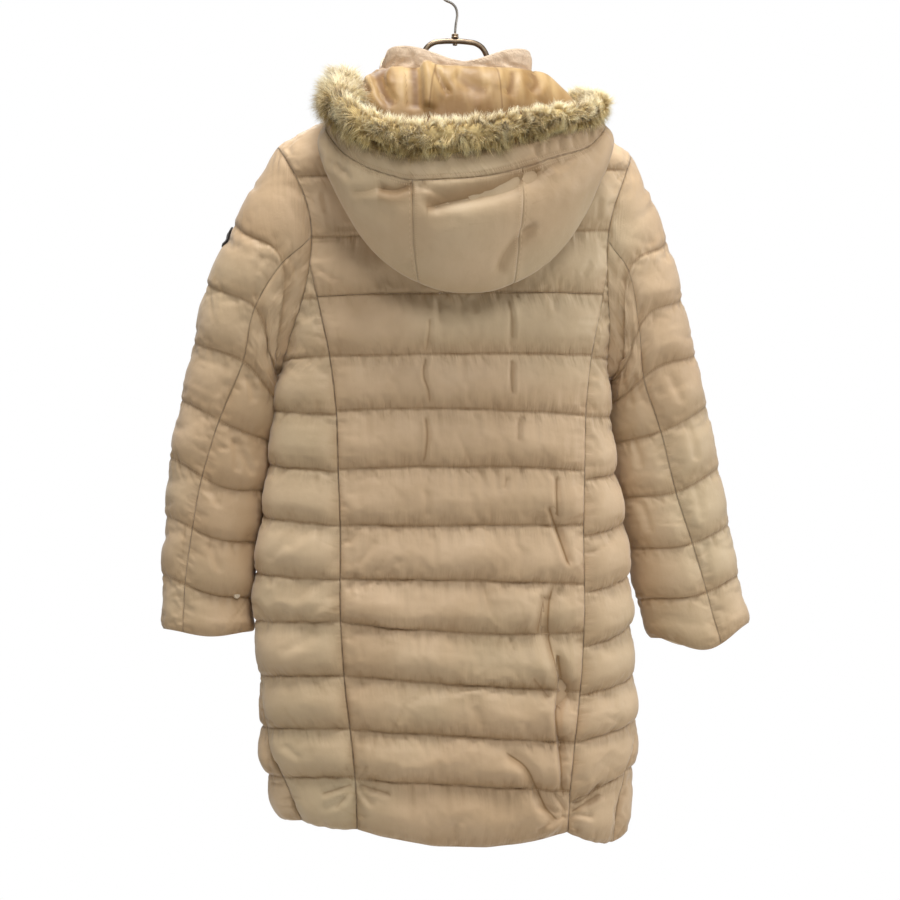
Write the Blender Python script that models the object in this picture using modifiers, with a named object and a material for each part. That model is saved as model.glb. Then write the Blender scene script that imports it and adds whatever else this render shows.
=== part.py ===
# Long down coat with a fur-trimmed hood, hanging on a metal hanger.
# Metres, +Z up. The origin is the inside top of the hanger's hook, so every height is a drop below it.
# The coat's back faces +Y, its front -Y, and its wearer's left side is +X.
# Cloth pieces are closed walls: a plain inside surface, and an outside raised between the
# quilting lines.

import bpy
import bmesh
import numpy as np

MM = 0.001

# ---- driving dimensions, in millimetres ----

cloth = 3.0             # wall where a quilting line or a seam presses it flat
loft = 9.5              # how far a filled channel of the body stands out from that
sleeve_loft = 8.0
seam_gap = 0.5          # between two pieces at a seam
armhole_gap = 2.3       # between the body's armhole and the sleeve
body_squareness = 2.4   # 2 is an ellipse, more is squarer
shoulder_round = 75.0   # how far below the shoulder line the body reaches its full depth
neck_half_width = 80.0
back_neck_depth = 35.0
front_neck_depth = 75.0
shoulder_drop = 222.0   # the armhole's top
princess_drop = 356.0   # where the princess seam leaves the armhole
princess_bend = 30.0    # the drop over which it leaves the armhole's own turn
underarm_drop = 487.0
zip_half_width = 9.0    # from the centre front to the front's edge

# Body outline: drop, sideways shift of the hanging coat, half width, depth to the back and to the
# front
body_columns = ("drop", "shift", "half_width", "back", "front")
body_rows = [
    (150, 0, 252, 66, 58),
    (222, 0, 240, 66, 60),
    (300, 0, 228, 66, 62),
    (360, 2, 214, 67, 63),
    (420, 5, 200, 67, 63),
    (473, 9, 190, 66, 62),
    (530, 12, 196, 66, 62),
    (600, 14, 203, 67, 62),
    (660, 14, 212, 68, 63),
    (755, 14, 221, 71, 65),
    (812, 12, 219, 73, 66),
    (892, 8, 219, 75, 68),
    (939, 8, 217, 76, 68),
    (975, 6, 210, 74, 66),
    (1010, 5, 199, 70, 62),
    (1050, 4, 186, 66, 58),
]

# Shoulder line: distance from the centre, drop
shoulder_rows = [(0, 150), (40, 152), (80, 162), (140, 184), (185, 205), (212, 222), (250, 250)]

# Armhole: drop, turn in degrees from the coat's side towards its back (and the same to its front)
armhole_rows = [
    (222, 30.6), (245, 35.0), (276, 39.5), (300, 41.1), (327, 40.6), (347, 38.6),
    (384, 33.0), (420, 23.6), (448, 14.0), (470, 6.3), (487, 0.0),
]

# Princess seam: drop, distance from the centre
princess_rows = [
    (300, 186), (356, 179), (398, 170), (468, 156), (532, 149), (601, 147), (667, 145),
    (780, 145), (854, 140), (915, 133), (972, 127.5), (1050, 124),
]

# Side seam: drop, turn in degrees towards the back
side_rows = [(440, 0), (487, 0), (850, 0), (905, 9), (962, 21), (1050, 27)]

# Quilting lines: drop at the piece's first seam, in its middle, at its last seam
centre_lines = [
    (398, 393, 391), (468, 465, 464), (532, 530, 537), (601, 598, 603), (667, 667, 667),
    (729, 732, 738), (779, 793, 795), (842, 854, 865), (905, 915, 925), (962, 972, 982),
    (1022, 1045, 1031),
]
left_side_lines = [
    (360, 360, 361), (400, 400, 400), (472, 470, 468), (531, 534, 537), (594, 599, 604),
    (655, 661, 667), (722, 727, 730), (779, 780, 779), (844, 843, 842), (906, 905, 904),
    (962, 961, 960), (1013, 1021, 1022),
]
right_side_lines = [
    (361, 360, 360), (400, 400, 400), (467, 467, 467), (539, 539, 538), (614, 609, 604),
    (681, 671, 661), (748, 736, 723), (813, 797, 780), (870, 858, 844), (925, 914, 902),
    (996, 977, 958), (1031, 1028, 1018),
]
front_lines = [
    (262, 260, 258), (331, 330, 329), (400, 399, 398), (472, 472, 472), (531, 531, 531),
    (594, 594, 594), (655, 655, 655), (722, 722, 722), (779, 779, 779), (844, 844, 844),
    (906, 906, 906), (962, 962, 962), (1024, 1020, 1013),
]
right_front_lines = [
    (262, 260, 258), (331, 330, 329), (400, 399, 398), (467, 467, 467), (538, 538, 538),
    (604, 604, 604), (661, 661, 661), (723, 723, 723), (780, 780, 780), (844, 844, 844),
    (902, 902, 902), (958, 958, 958), (1024, 1020, 1018),
]
yoke_lines = [(258, 252, 243), (329, 323, 316), (398, 393, 391)]

# Columns across the pieces, 0 to 1 from the first seam to the last
back_columns = [0, 0.035, 0.15, 0.311, 0.354, 0.417, 0.5, 0.583, 0.646, 0.689, 0.85, 0.965, 1]
side_columns = [0, 0.1, 0.36, 0.64, 0.9, 1]
press_from = 440.0      # the side panels are pressed flatter by the sleeve above this drop
press_over = 60.0
press_least = 0.3       # the fullness that is left there
press_seam = 0.7        # and how much of it comes back towards the princess seam
front_columns = [0, 0.05, 0.11, 0.18, 0.2605, 0.45, 0.62, 0.79, 0.93, 1]
channel = [(0, 0.0), (0.22, 0.86), (0.5, 1.0), (0.78, 0.86)]    # place in the channel, how full it is

# Sleeve rings at the quilting lines: outer edge (out, drop), inner edge (out, drop), how far the
# middle of the ring moves (out, drop), half depth, forward shift, turn of the back seam. "out" is
# from the centre.
sleeve_columns = ("out", "drop", "in_out", "in_drop", "mid_out", "mid_drop", "depth", "forward", "seam")
left_sleeve_rows = [
    (263, 303, 227, 491, -27, -38, 58, 4, 90),
    (299, 374, 227, 503, -14, -24, 57, 10, 86),
    (318, 445, 229, 530, -5, -13, 54, 16, 88),
    (334, 515, 235, 574, 0, 5, 51, 20, 76),
    (345, 585, 242, 632, 0, 13, 49, 23, 66),
    (350, 654, 249, 693, 0, 9, 47, 24, 60),
    (359, 724, 253, 758, 0, 7, 44, 24, 56),
    (360, 792, 252, 797, 0, 7, 38, 22, 52),
]
right_sleeve_rows = [
    (241, 315, 208, 492, -25, -38, 58, 4, 90),
    (279, 384, 208, 504, -14, -24, 57, 10, 100),
    (299, 457, 208, 526, -5, -13, 54, 16, 108),
    (312, 521, 214, 574, 0, 5, 51, 20, 98),
    (328, 597, 224, 640, 0, 10, 49, 23, 91),
    (340, 669, 230, 701, 0, 9, 47, 24, 82),
    (352, 731, 236, 760, 0, 7, 44, 24, 76),
    (362, 788, 249, 802, 0, 10, 38, 22, 72),
]
armhole_leans = np.linspace(0, 180, 9)      # the armhole's corners, 0 at the shoulder
corner_reach = 13.0                         # how far a row moves along the seam to meet a corner
armhole_share = 0.8                         # the sleeve's share in the seam's own direction
armhole_beside = 0.12                       # the place on the sleeve that this share is taken from
armhole_top_way = (0.45, 0, 0.9)            # direction at the shoulder, on the wearer's left
armhole_low_way = (0.6, 0, -0.8)            # direction at the underarm
front_sleeve_seam = -135.0
upper_steps = 10
under_steps = 6

# Hood sections, from the centre back round to the front: place along the rim (0 to 1), then for each
# named place of the section its distance out to the side, its y and its drop
hood_places = ("neck", "roll", "fall", "floor", "bulge", "rim")
hood_rows = [
    (0.0, (0, 65.8, 172), (0, 83, 124), (0, 108, 200),
     (0, 106, 384), (0, 162, 318), (0, 152, 240)),
    (0.2, (35.4, 62.7, 172), (41, 80, 124), (52, 104, 198),
     (64, 104, 368), (76, 154, 306), (78, 146, 234)),
    (0.4, (69.6, 52.4, 168), (81, 66, 123), (99, 92, 190),
     (118, 98, 314), (138, 130, 272), (137, 124, 219)),
    (0.6, (84.6, 19.6, 157), (102, 29, 125), (124, 56, 157),
     (151, 82, 212), (166, 93, 211), (159, 87, 190)),
    (0.7, (90, 0, 156), (105, 1, 129), (121, 16, 149),
     (138, 33, 169), (153, 41, 179), (152, 40, 168)),
    (0.8, (84, -22, 157), (98, -27, 137), (114, -26, 142),
     (126, -22, 150), (136, -17, 157), (140, -13, 151)),
    (1.0, (65, -66, 186), (71, -72, 177), (77, -77, 173),
     (84, -82, 172), (91, -86, 174), (97, -88, 172)),
]
hood_shift = 11.0       # how far the hanging hood has slipped towards the wearer's left
hood_shift_from = 85.0  # the slip grows from this depth on
hood_shift_over = 60.0
hood_seam = 0.16        # place of the seams between the hood's middle and its sides
hood_body_spots = (0, 0.45, 0.8, 1.05, 1.35, 2, 2.55, 2.8, 2.92, 3.04, 3.18, 3.38, 3.7, 4, 4.3, 4.6)
hood_band_spots = (4.6, 4.7, 4.88, 5)
hood_middle_places = np.linspace(-hood_seam, hood_seam, 4)
hood_side_places = np.concatenate([[hood_seam, 0.21], np.linspace(0.3, 0.9, 7), [1.0]])
hood_cloth = 4.5
hood_loft = 4.0
hood_thin = 0.6         # how much thinner the shell is where it rolls over, at spot 1
lining_wall = 1.6
lining_gap = 1.1        # between the hood's shell and its lining
fur_radius = 24.0
fur_spread = 3.5        # the fur is fuller on the wearer's left
fur_places = np.linspace(-0.98, 0.98, 27)
fur_around = 10         # corners of each ring
fur_taper = (0.25, 0.4)     # how much thinner it gets towards its ends, and at the very ends
fur_outward = (2.0, 12.0)   # how far it stands out at the middle of the rim, and more at its ends

# Collar: distance from the centre front round the neck (0) to the centre back (1), drop of its top edge
collar_rows = [(0.0, 106), (0.1, 92), (0.24, 84), (0.38, 92), (0.55, 110), (0.75, 125), (1.0, 130)]
collar_wall = 6.0
collar_lean = 9.0       # how far the top stands out from the neckline
collar_open = 15.0      # half the gap between the collar's ends at the top
collar_slip = 12.0      # how far the top of its front has slipped towards the wearer's right
collar_ups = (0, 0.12, 0.4, 0.7, 1.0)   # its rows, from the neckline to the top edge
collar_front_share = 0.3    # the share of its length that opens
collar_slip_share = 0.5     # the share of its length that slips
collar_edge = 0.6       # how thick the top edge is beside the wall

# Hanger: its arch and neck (distance from the centre, drop), then along the shoulder line
hanger_rows = [
    (0, 86), (14, 86.5), (26, 88.5), (33, 93), (38, 101), (42, 116), (48, 137), (57, 153), (70, 163),
]
arm_start = 86.0        # where the arms begin to follow the shoulder line
arm_bend = 172.0
hanger_reach = 188.0
hanger_gap = 1.9
bar_radius = 3.3
hook_wire = 1.5
hook_radius = 21.0
hook_turns = np.radians(np.linspace(-58, 215, 18))
stem_rows = [(-1, 66), (-2.5, 52), (-1, 46), (4, 40.5)]     # distance to the side, drop
nut_radius = 4.2
nut_height = 5.0
seat_gap = 0.3

# Zip
tape_width = 8.4
tape_wall = 1.4
tape_bottom = 1018.0
tape_rows = 18
tape_top_gap = 2.0      # below the front's neckline
slider_drop = 268.0
slider_size = (8.0, 3.6, 12.0)
slider_rounding = 1.0
bridge_wire = 0.7
bridge_reach = 4.4
bridge_half = 3.6
bridge_legs = 0.7       # how far its legs go straight, beside its reach
bridge_flat = 0.6       # the straight share of its back
pull_size = (7.6, 1.5, 30.0)
pull_hole = (4.2, 6.6)
pull_bar = 1.5
pull_seat = 0.1         # how far the hinge's axis lies behind the middle of the bridge
pull_waist = 3.0        # the tab narrows from this far below its window to this far above its end
pull_narrow = 1.0
pull_corner = 2.5

# Sleeve badge: place between the quilting lines, turn round the sleeve, in degrees
badge_places = (1.02, 1.34)
badge_turns = (-26.0, 6.0)
badge_wall = 1.8
badge_gap = 0.9

# Colours: red, green, blue (linear), metallic, roughness
shell_look = ((0.46, 0.34, 0.22), 0.0, 0.55)
shade_look = ((0.40, 0.29, 0.19), 0.0, 0.55)
lining_look = ((0.62, 0.42, 0.20), 0.0, 0.45)
fur_look = ((0.42, 0.32, 0.16), 0.0, 0.9)
metal_look = ((0.16, 0.12, 0.08), 1.0, 0.35)
label_look = ((0.035, 0.025, 0.03), 0.0, 0.6)
sharp_angle = 50.0      # between two faces of a crisp edge


# ---- helpers ----

def table(rows, columns, name):
    # One named column of a table.
    return np.array([row[columns.index(name)] for row in rows], float)


def through(keys, values, at):
    # A smooth curve through table values: a cubic on each span, with the neighbours' mean slopes.
    keys = np.asarray(keys, float)
    values = np.asarray(values, float)
    at = np.asarray(at, float)
    slopes = np.gradient(values, keys, axis=0)
    span = np.clip(np.searchsorted(keys, at) - 1, 0, len(keys) - 2)
    extra = (1,) * (values.ndim - 1)
    width = (keys[span + 1] - keys[span]).reshape(at.shape + extra)
    t = np.clip((at - keys[span]).reshape(at.shape + extra) / width, 0, 1)
    start = (1 + 2 * t) * (1 - t) ** 2 * values[span] + t * (1 - t) ** 2 * width * slopes[span]
    end = t * t * (3 - 2 * t) * values[span + 1] - t * t * (1 - t) * width * slopes[span + 1]
    return start + end


def unit(vectors):
    return vectors / np.maximum(np.linalg.norm(vectors, axis=-1, keepdims=True), 1e-12)


def material(name, look):
    colour, metallic, roughness = look
    made = bpy.data.materials.new(name)
    made.use_nodes = True
    shader = made.node_tree.nodes["Principled BSDF"]
    shader.inputs["Base Color"].default_value = (*colour, 1)
    shader.inputs["Metallic"].default_value = metallic
    shader.inputs["Roughness"].default_value = roughness
    made.diffuse_color = (*colour, 1)
    return made


def add_object(name, mesh, look):
    made = bpy.data.objects.new(name, mesh)
    coat.objects.link(made)
    mesh.materials.append(material(name, look))
    mesh.shade_smooth()
    mesh.set_sharp_from_angle(angle=np.radians(sharp_angle))
    return made


def add_wall(name, base, outward, rise, look, inner_rows=None):
    # A closed wall from a grid of points in millimetres. The inside keeps only inner_rows of the grid's
    # rows, and the outside has every row, moved out by rise.
    rows, columns = base.shape[:2]
    inner_rows = list(range(rows)) if inner_rows is None else inner_rows
    outside = base + unit(outward) * rise[..., None]
    points = np.concatenate([base[inner_rows].reshape(-1, 3), outside.reshape(-1, 3)]) * MM
    inside_end, outside_end = len(inner_rows) - 1, rows - 1

    def inner(i, j):
        return i * columns + j

    def outer(i, j):
        return (len(inner_rows) + i) * columns + j

    faces = []
    for j in range(columns - 1):
        for i in range(inside_end):
            faces.append((inner(i, j), inner(i, j + 1), inner(i + 1, j + 1), inner(i + 1, j)))
        for i in range(outside_end):
            faces.append((outer(i, j), outer(i + 1, j), outer(i + 1, j + 1), outer(i, j + 1)))
        faces.append((inner(0, j), outer(0, j), outer(0, j + 1), inner(0, j + 1)))
        low = (inner(inside_end, j + 1), outer(outside_end, j + 1))
        faces.append(low + (outer(outside_end, j), inner(inside_end, j)))
    for i in range(inside_end):
        steps = range(inner_rows[i], inner_rows[i + 1] + 1)
        faces.append((inner(i, 0), inner(i + 1, 0)) + tuple(outer(k, 0) for k in reversed(steps)))
        edge = columns - 1
        faces.append((inner(i + 1, edge), inner(i, edge)) + tuple(outer(k, edge) for k in steps))
    return add_object(name, closed_mesh(name, points, faces), look)


def closed_mesh(name, points, faces):
    # A mesh of triangles facing outwards.
    mesh = bpy.data.meshes.new(name)
    mesh.from_pydata(points.tolist(), [], faces)
    work = bmesh.new()
    work.from_mesh(mesh)
    bmesh.ops.triangulate(work, faces=work.faces[:])
    if work.calc_volume(signed=True) < 0:
        bmesh.ops.reverse_faces(work, faces=work.faces[:])
    work.to_mesh(mesh)
    work.free()
    return mesh


def add_tube(name, points, radius, look, resolution=2):
    # A round bar along points in millimetres.
    curve = bpy.data.curves.new(name, "CURVE")
    curve.dimensions = "3D"
    curve.bevel_depth = radius * MM
    curve.bevel_resolution = resolution
    curve.use_fill_caps = True
    spline = curve.splines.new("POLY")
    spline.points.add(len(points) - 1)
    for spot, point in zip(spline.points, points):
        spot.co = (*(np.asarray(point, float) * MM), 1)
    made = bpy.data.objects.new(name, curve)
    coat.objects.link(made)
    curve.materials.append(material(name, look))
    return made


def pull_in(grid, amount, top=False, bottom=False, first=True, last=True):
    # Moves the edges of a grid towards its middle, to leave half a seam gap there.
    moved = grid.copy()
    if first:
        moved[:, 0] += unit(grid[:, 1] - grid[:, 0]) * amount
    if last:
        moved[:, -1] += unit(grid[:, -2] - grid[:, -1]) * amount
    if top:
        moved[0] += unit(grid[1] - grid[0]) * amount
    if bottom:
        moved[-1] += unit(grid[-2] - grid[-1]) * amount
    return moved


# ---- the body's shared surface ----

def body_size(name, drop):
    return through(table(body_rows, body_columns, "drop"), table(body_rows, body_columns, name), drop)


def shoulder_line(x):
    out, drop = np.array(shoulder_rows, float).T
    return through(out, drop, np.abs(x))


def body_point(turn, drop):
    # A squared ellipse round the body at each drop, drawn in to the shoulder line at the top.
    c, s = np.cos(turn), np.sin(turn)
    power = 2 / body_squareness
    x = body_size("shift", drop) + body_size("half_width", drop) * np.sign(c) * np.abs(c) ** power
    depth = np.where(s > 0, body_size("back", drop), body_size("front", drop))
    below = np.clip((drop - shoulder_line(x)) / shoulder_round, 0, 1)
    y = depth * np.sign(s) * np.abs(s) ** power * np.sqrt(1 - (1 - below) ** 2)
    return np.stack(np.broadcast_arrays(x, y, -np.asarray(drop, float)), axis=-1)


def body_outward(turn, drop):
    # The body's outward direction, from nearby points round and down.
    dt, dd = np.radians(0.5), 1.0
    round_it = body_point(turn + dt, drop) - body_point(turn - dt, drop)
    down = body_point(turn, drop + dd) - body_point(turn, np.maximum(drop - dd, 0))
    return unit(np.cross(down, round_it))


def turn_at(x, drop):
    # The turn at which the back of the body has a given x.
    share = (x - body_size("shift", drop)) / body_size("half_width", drop)
    share = np.clip(share, -0.999, 0.999)
    return np.arccos(np.sign(share) * np.abs(share) ** (body_squareness / 2))


def armhole_turn(drop):
    drops, turns = np.array(armhole_rows, float).T
    return np.radians(through(drops, turns, drop))


def side_turn(drop):
    drops, turns = np.array(side_rows, float).T
    return np.radians(through(drops, turns, drop))


def princess_turn(side, drop):
    # The princess seam leaves the armhole and then keeps its own distance from the centre.
    drops, outs = np.array(princess_rows, float).T
    start = turn_at(side * through(drops, outs, princess_drop), princess_drop)
    own = turn_at(side * through(drops, outs, drop), drop)
    arm = armhole_turn(princess_drop)
    arm = arm if side > 0 else np.pi - arm
    return own + (arm - start) * np.exp(-np.maximum(drop - princess_drop, 0) / princess_bend)


def armhole_corners(side, half):
    # Corners of the armhole on the back (half 1) or the front (half -1), shoulder to underarm.
    lean = np.radians(armhole_leans)
    middle, reach = (shoulder_drop + underarm_drop) / 2, (underarm_drop - shoulder_drop) / 2
    drop = middle - reach * np.cos(lean)
    turn = half * armhole_turn(drop)
    turn = turn if side > 0 else np.pi - turn
    points = body_point(turn, drop)
    points[0, 1] = 0
    return drop, points, body_outward(turn, drop)


def armhole_ring(side, half):
    # At the seam the body and the sleeve are built up in one direction, between their own two.
    drop, points, outward = armhole_corners(side, half)
    rows = left_sleeve_rows if side > 0 else right_sleeve_rows
    turn = np.radians(half * armhole_leans)[None]
    beside = sleeve_outward(side, rows, np.array([armhole_beside]), turn)[0]
    outward = unit(outward + armhole_share * beside)
    outward[0] = unit(np.array(armhole_top_way) * (side, 1, 1))
    outward[-1] = unit(np.array(armhole_low_way) * (side, 1, 1))
    return drop, points, outward


def armhole_edge(side, half, drop):
    # Points and directions on the straight runs between those corners. The row nearest to a corner
    # takes its place.
    drops, points, outward = armhole_ring(side, half)
    drop = drop.copy()
    for corner in drops:
        nearest = np.argmin(np.abs(drop - corner))
        if abs(drop[nearest] - corner) < corner_reach:
            drop[nearest] = corner
    spot = np.stack([np.interp(drop, drops, points[:, k]) for k in range(3)], axis=-1)
    way = np.stack([np.interp(drop, drops, outward[:, k]) for k in range(3)], axis=-1)
    return spot, unit(way)


def neck_point(x, half):
    # The neckline's drop on the back (half 1) or the front (half -1).
    angle = np.arccos(np.clip(np.abs(x) / neck_half_width, 0, 1))
    depth = back_neck_depth if half > 0 else front_neck_depth
    return shoulder_line(x) + depth * np.sin(angle)


def neck_edge(x, half):
    # Points and directions of the neckline.
    drop = neck_point(x, half)
    turn = half * turn_at(x, drop)
    points = body_point(turn, drop)
    points[:, 0] = x
    outward = body_outward(turn, drop)
    return points, shoulder_way(points, outward, np.abs(x) < neck_half_width - 0.5)


def tip_distance():
    # Distance from the centre to the shoulder line's outer end.
    return body_point(armhole_turn(shoulder_drop), shoulder_drop)[0]


def front_top_x():
    # Distances from the centre of the front's columns along the neckline and the shoulder line.
    columns = np.array(front_columns)
    turn = np.radians(-90) * (1 - columns) - armhole_turn(shoulder_drop) * columns
    out = body_point(turn, shoulder_drop)[:, 0]
    out[4] = neck_half_width
    out[0] = zip_half_width
    return out


def shoulder_corners():
    # The corners of the shoulder line that the front and the yoke share: distance out, drop.
    outs = np.sort(tip_distance() * (1 - 2 * np.array(back_columns[:4])))
    outs[0] = neck_half_width
    return outs, shoulder_line(outs)


def shoulder_way(points, outward, on_neck):
    # Along the shoulder line both pieces are built up in the same direction, square to the line.
    outs = np.arange(251.0)
    tilt = np.interp(np.abs(points[:, 0]), outs, np.gradient(shoulder_line(outs)))
    way = unit(np.stack([np.sign(points[:, 0]) * tilt, 0 * tilt, np.ones_like(tilt)], axis=-1))
    return np.where(on_neck[:, None], outward, way)


def channel_rows(lines, columns, top=None):
    # Drops of every row of a quilted piece, how full each row is, and the rows of its plain inside.
    across = np.asarray(columns, float)
    lines = np.array(lines, float)
    first, middle, last = lines[:, 0:1], lines[:, 1:2], lines[:, 2:3]
    bend = first * (1 - across) + last * across
    drops = bend + (middle - (first + last) / 2) * 4 * across * (1 - across)
    if top is not None:
        drops = np.concatenate([top[None], drops])
    rows, full, inner = [], [], []
    for i in range(len(drops) - 1):
        for place, height in channel:
            if place in (0, 0.5):
                inner.append(len(rows))
            rows.append(drops[i] * (1 - place) + drops[i + 1] * place)
            full.append(height)
    inner.append(len(rows))
    rows.append(drops[-1])
    full.append(0.0)
    return np.array(rows), np.array(full), inner


def fullness(columns, ease=0.09):
    # How full each column is: flat at the seams, full a little way in.
    across = np.asarray(columns, float)
    return np.clip(np.minimum(across, 1 - across) / ease, 0, 1) ** 0.5


# ---- body pieces ----

def add_back_centre():
    drops, full, inner = channel_rows(centre_lines, back_columns)
    across = np.array(back_columns)[None]
    left = body_point(princess_turn(1, drops), drops)[..., 0]
    right = body_point(princess_turn(-1, drops), drops)[..., 0]
    turn = turn_at(left * (1 - across) + right * across, drops)
    turn[:, 0] = princess_turn(1, drops[:, 0])
    turn[:, -1] = princess_turn(-1, drops[:, -1])
    base = pull_in(body_point(turn, drops), seam_gap / 2, top=True)
    rise = cloth + loft * full[:, None] * fullness(back_columns, 0.05)[None]
    add_wall("back_centre", base, body_outward(turn, drops), rise, shell_look, inner)


def yoke_edge(side, drop):
    # The yoke's side edges follow the armhole and then the princess seam.
    arm = armhole_turn(drop)
    arm = arm if side > 0 else np.pi - arm
    return np.where(drop < princess_drop, arm, princess_turn(side, drop))


def add_back_yoke():
    columns = np.array(back_columns)
    across = columns[None]
    top_x = tip_distance() * (1 - 2 * columns)
    top_x[[3, -4]] = neck_half_width, -neck_half_width
    on_neck = np.abs(top_x) < neck_half_width + 0.5
    top = np.where(on_neck, neck_point(top_x, 1), shoulder_line(top_x))
    drops, full, inner = channel_rows(yoke_lines, back_columns, top)
    left = body_point(yoke_edge(1, drops), drops)[..., 0]
    right = body_point(yoke_edge(-1, drops), drops)[..., 0]
    turn = turn_at(left * (1 - across) + right * across, drops)
    turn[:, 0] = yoke_edge(1, drops[:, 0])
    turn[:, -1] = yoke_edge(-1, drops[:, -1])
    base = body_point(turn, drops)
    outward = body_outward(turn, drops)
    for column, side in ((0, 1), (-1, -1)):
        held = drops[:, column] < princess_drop
        base[held, column], outward[held, column] = armhole_edge(side, 1, drops[held, column])
    base[0], outward[0] = neck_edge(top_x, 1)
    base[0, ~on_neck, 1] = 0
    base[0, ~on_neck, 2] = -top[~on_neck]
    base = pull_in(base, seam_gap / 2, bottom=True)
    base[0, np.abs(top_x) > neck_half_width - 0.5, 1] += seam_gap / 2
    rise = cloth + loft * full[:, None] * fullness(back_columns, 0.1)[None]
    add_wall("back_yoke", base, outward, rise, shell_look, inner)


def add_back_side(side):
    lines = left_side_lines if side > 0 else right_side_lines
    if side < 0:
        lines = [row[::-1] for row in lines]
    drops, full, inner = channel_rows(lines, side_columns)
    across = np.array(side_columns)[None]
    arm = np.where(drops < underarm_drop, armhole_turn(drops), side_turn(drops))
    arm = arm if side > 0 else np.pi - arm
    turn = arm * (1 - across) + princess_turn(side, drops) * across
    base = body_point(turn, drops)
    outward = body_outward(turn, drops)
    held = drops[:, 0] < underarm_drop
    base[held, 0], outward[held, 0] = armhole_edge(side, 1, drops[held, 0])
    base = pull_in(base, seam_gap / 2)
    press = np.clip((drops - press_from) / press_over, press_least, 1) + press_seam * across ** 2
    rise = cloth + loft * full[:, None] * fullness(side_columns)[None] * np.minimum(press, 1)
    name = "back_side_left" if side > 0 else "back_side_right"
    add_wall(name, base, outward, rise, shell_look, inner)


def add_front(side):
    columns = np.array(front_columns)
    across = columns[None]
    top_x = side * front_top_x()
    on_neck = np.abs(top_x) < neck_half_width + 0.5
    top = np.where(on_neck, neck_point(top_x, -1), shoulder_line(top_x))
    drops, full, inner = channel_rows(front_lines if side > 0 else right_front_lines, columns, top)
    edge = np.where(drops < underarm_drop, -armhole_turn(drops), side_turn(drops))
    middle = np.radians(-90)
    if side < 0:
        edge = np.where(drops < underarm_drop, armhole_turn(drops) - np.pi, -np.pi - side_turn(drops))
    turn = middle * (1 - across) + edge * across
    base = body_point(turn, drops)
    outward = body_outward(turn, drops)
    base[:, 0, 0] = side * zip_half_width
    held = drops[:, -1] < underarm_drop
    base[held, -1], outward[held, -1] = armhole_edge(side, -1, drops[held, -1])
    base[0], outward[0] = neck_edge(top_x, -1)
    base[0, ~on_neck, 1] = 0
    base[0, ~on_neck, 2] = -np.interp(np.abs(top_x), *shoulder_corners())[~on_neck]
    base = pull_in(base, seam_gap / 2)
    base[0, np.abs(top_x) > neck_half_width - 0.5, 1] -= seam_gap / 2
    rise = cloth + loft * full[:, None] * fullness(front_columns, 0.05)[None]
    name = "front_left" if side > 0 else "front_right"
    add_wall(name, base, outward, rise, shell_look, inner)


# ---- sleeves ----

def sleeve_ring(side, row, turn):
    # One ring at a quilting line, on the wall's inside: an ellipse whose middle is moved along the arm.
    value = dict(zip(sleeve_columns, row))
    outer = np.array([value["out"], value["drop"]], float)
    inner = np.array([value["in_out"], value["in_drop"]], float)
    half = (outer - inner) / 2
    skin = cloth + sleeve_loft
    half = half * (1 - skin / np.linalg.norm(half))
    centre = (outer + inner) / 2
    middle = np.array([value["mid_out"], value["mid_drop"]], float)
    c, s = np.cos(turn), np.sin(turn)
    spot = centre + half * c[..., None] + middle * (s ** 2)[..., None]
    y = (value["depth"] - skin) * s - value["forward"]
    return np.stack([side * spot[..., 0], y, -spot[..., 1]], axis=-1)


def sleeve_turns(rows, places, columns, piece):
    # The turn of every point of one sleeve piece, between the sleeve's front and back seams.
    seams = np.concatenate([[90.0], table(rows, sleeve_columns, "seam")])
    seam = through(np.arange(len(rows) + 1), seams, places)[:, None]
    first, last = (front_sleeve_seam, seam) if piece == "upper" else (seam, 360 + front_sleeve_seam)
    share = np.linspace(0, 1, columns + 1)[None]
    return np.radians(first * (1 - share) + last * share)


def sleeve_point(side, rows, places, turn):
    # Points on the sleeve's inside: a smooth skin through the armhole and the rings.
    keys = np.arange(len(rows) + 1)
    stack = np.stack([armhole_start(side, turn)] + [sleeve_ring(side, row, turn) for row in rows])
    return np.stack([through(keys, stack[:, i], np.array(place)) for i, place in enumerate(places)])


def sleeve_outward(side, rows, places, turn):
    # The sleeve's outward direction, from nearby points round and along it.
    dt, dp = np.radians(4), 0.03
    round_it = sleeve_point(side, rows, places, turn + dt) - sleeve_point(side, rows, places, turn - dt)
    low, high = np.maximum(places - dp, 0), np.minimum(places + dp, len(rows))
    along = sleeve_point(side, rows, high, turn) - sleeve_point(side, rows, low, turn)
    return unit(np.cross(along, round_it)) * side


def armhole_start(side, turn, what=1, corners=armhole_corners):
    # The armhole's points (or with what 2 its directions) in the sleeve's own turn: 0 at the
    # shoulder, 90 at the back.
    front, back = corners(side, -1)[what], corners(side, 1)[what]
    ring = np.concatenate([front[::-1], back[1:]])
    angle = np.concatenate([-armhole_leans[::-1], armhole_leans[1:]])
    degrees = (np.degrees(turn) + 180) % 360 - 180
    return np.stack([np.interp(degrees, angle, ring[:, k]) for k in range(3)], axis=-1)


def sleeve_rows(rows):
    # Places of every row of the sleeve, how full each is, and the rows of its plain inside.
    places = [i + place for i in range(len(rows)) for place, height in channel] + [float(len(rows))]
    full = [height for i in range(len(rows)) for place, height in channel] + [0.0]
    return np.array(places), np.array(full), list(range(0, len(places), 2))


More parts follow.
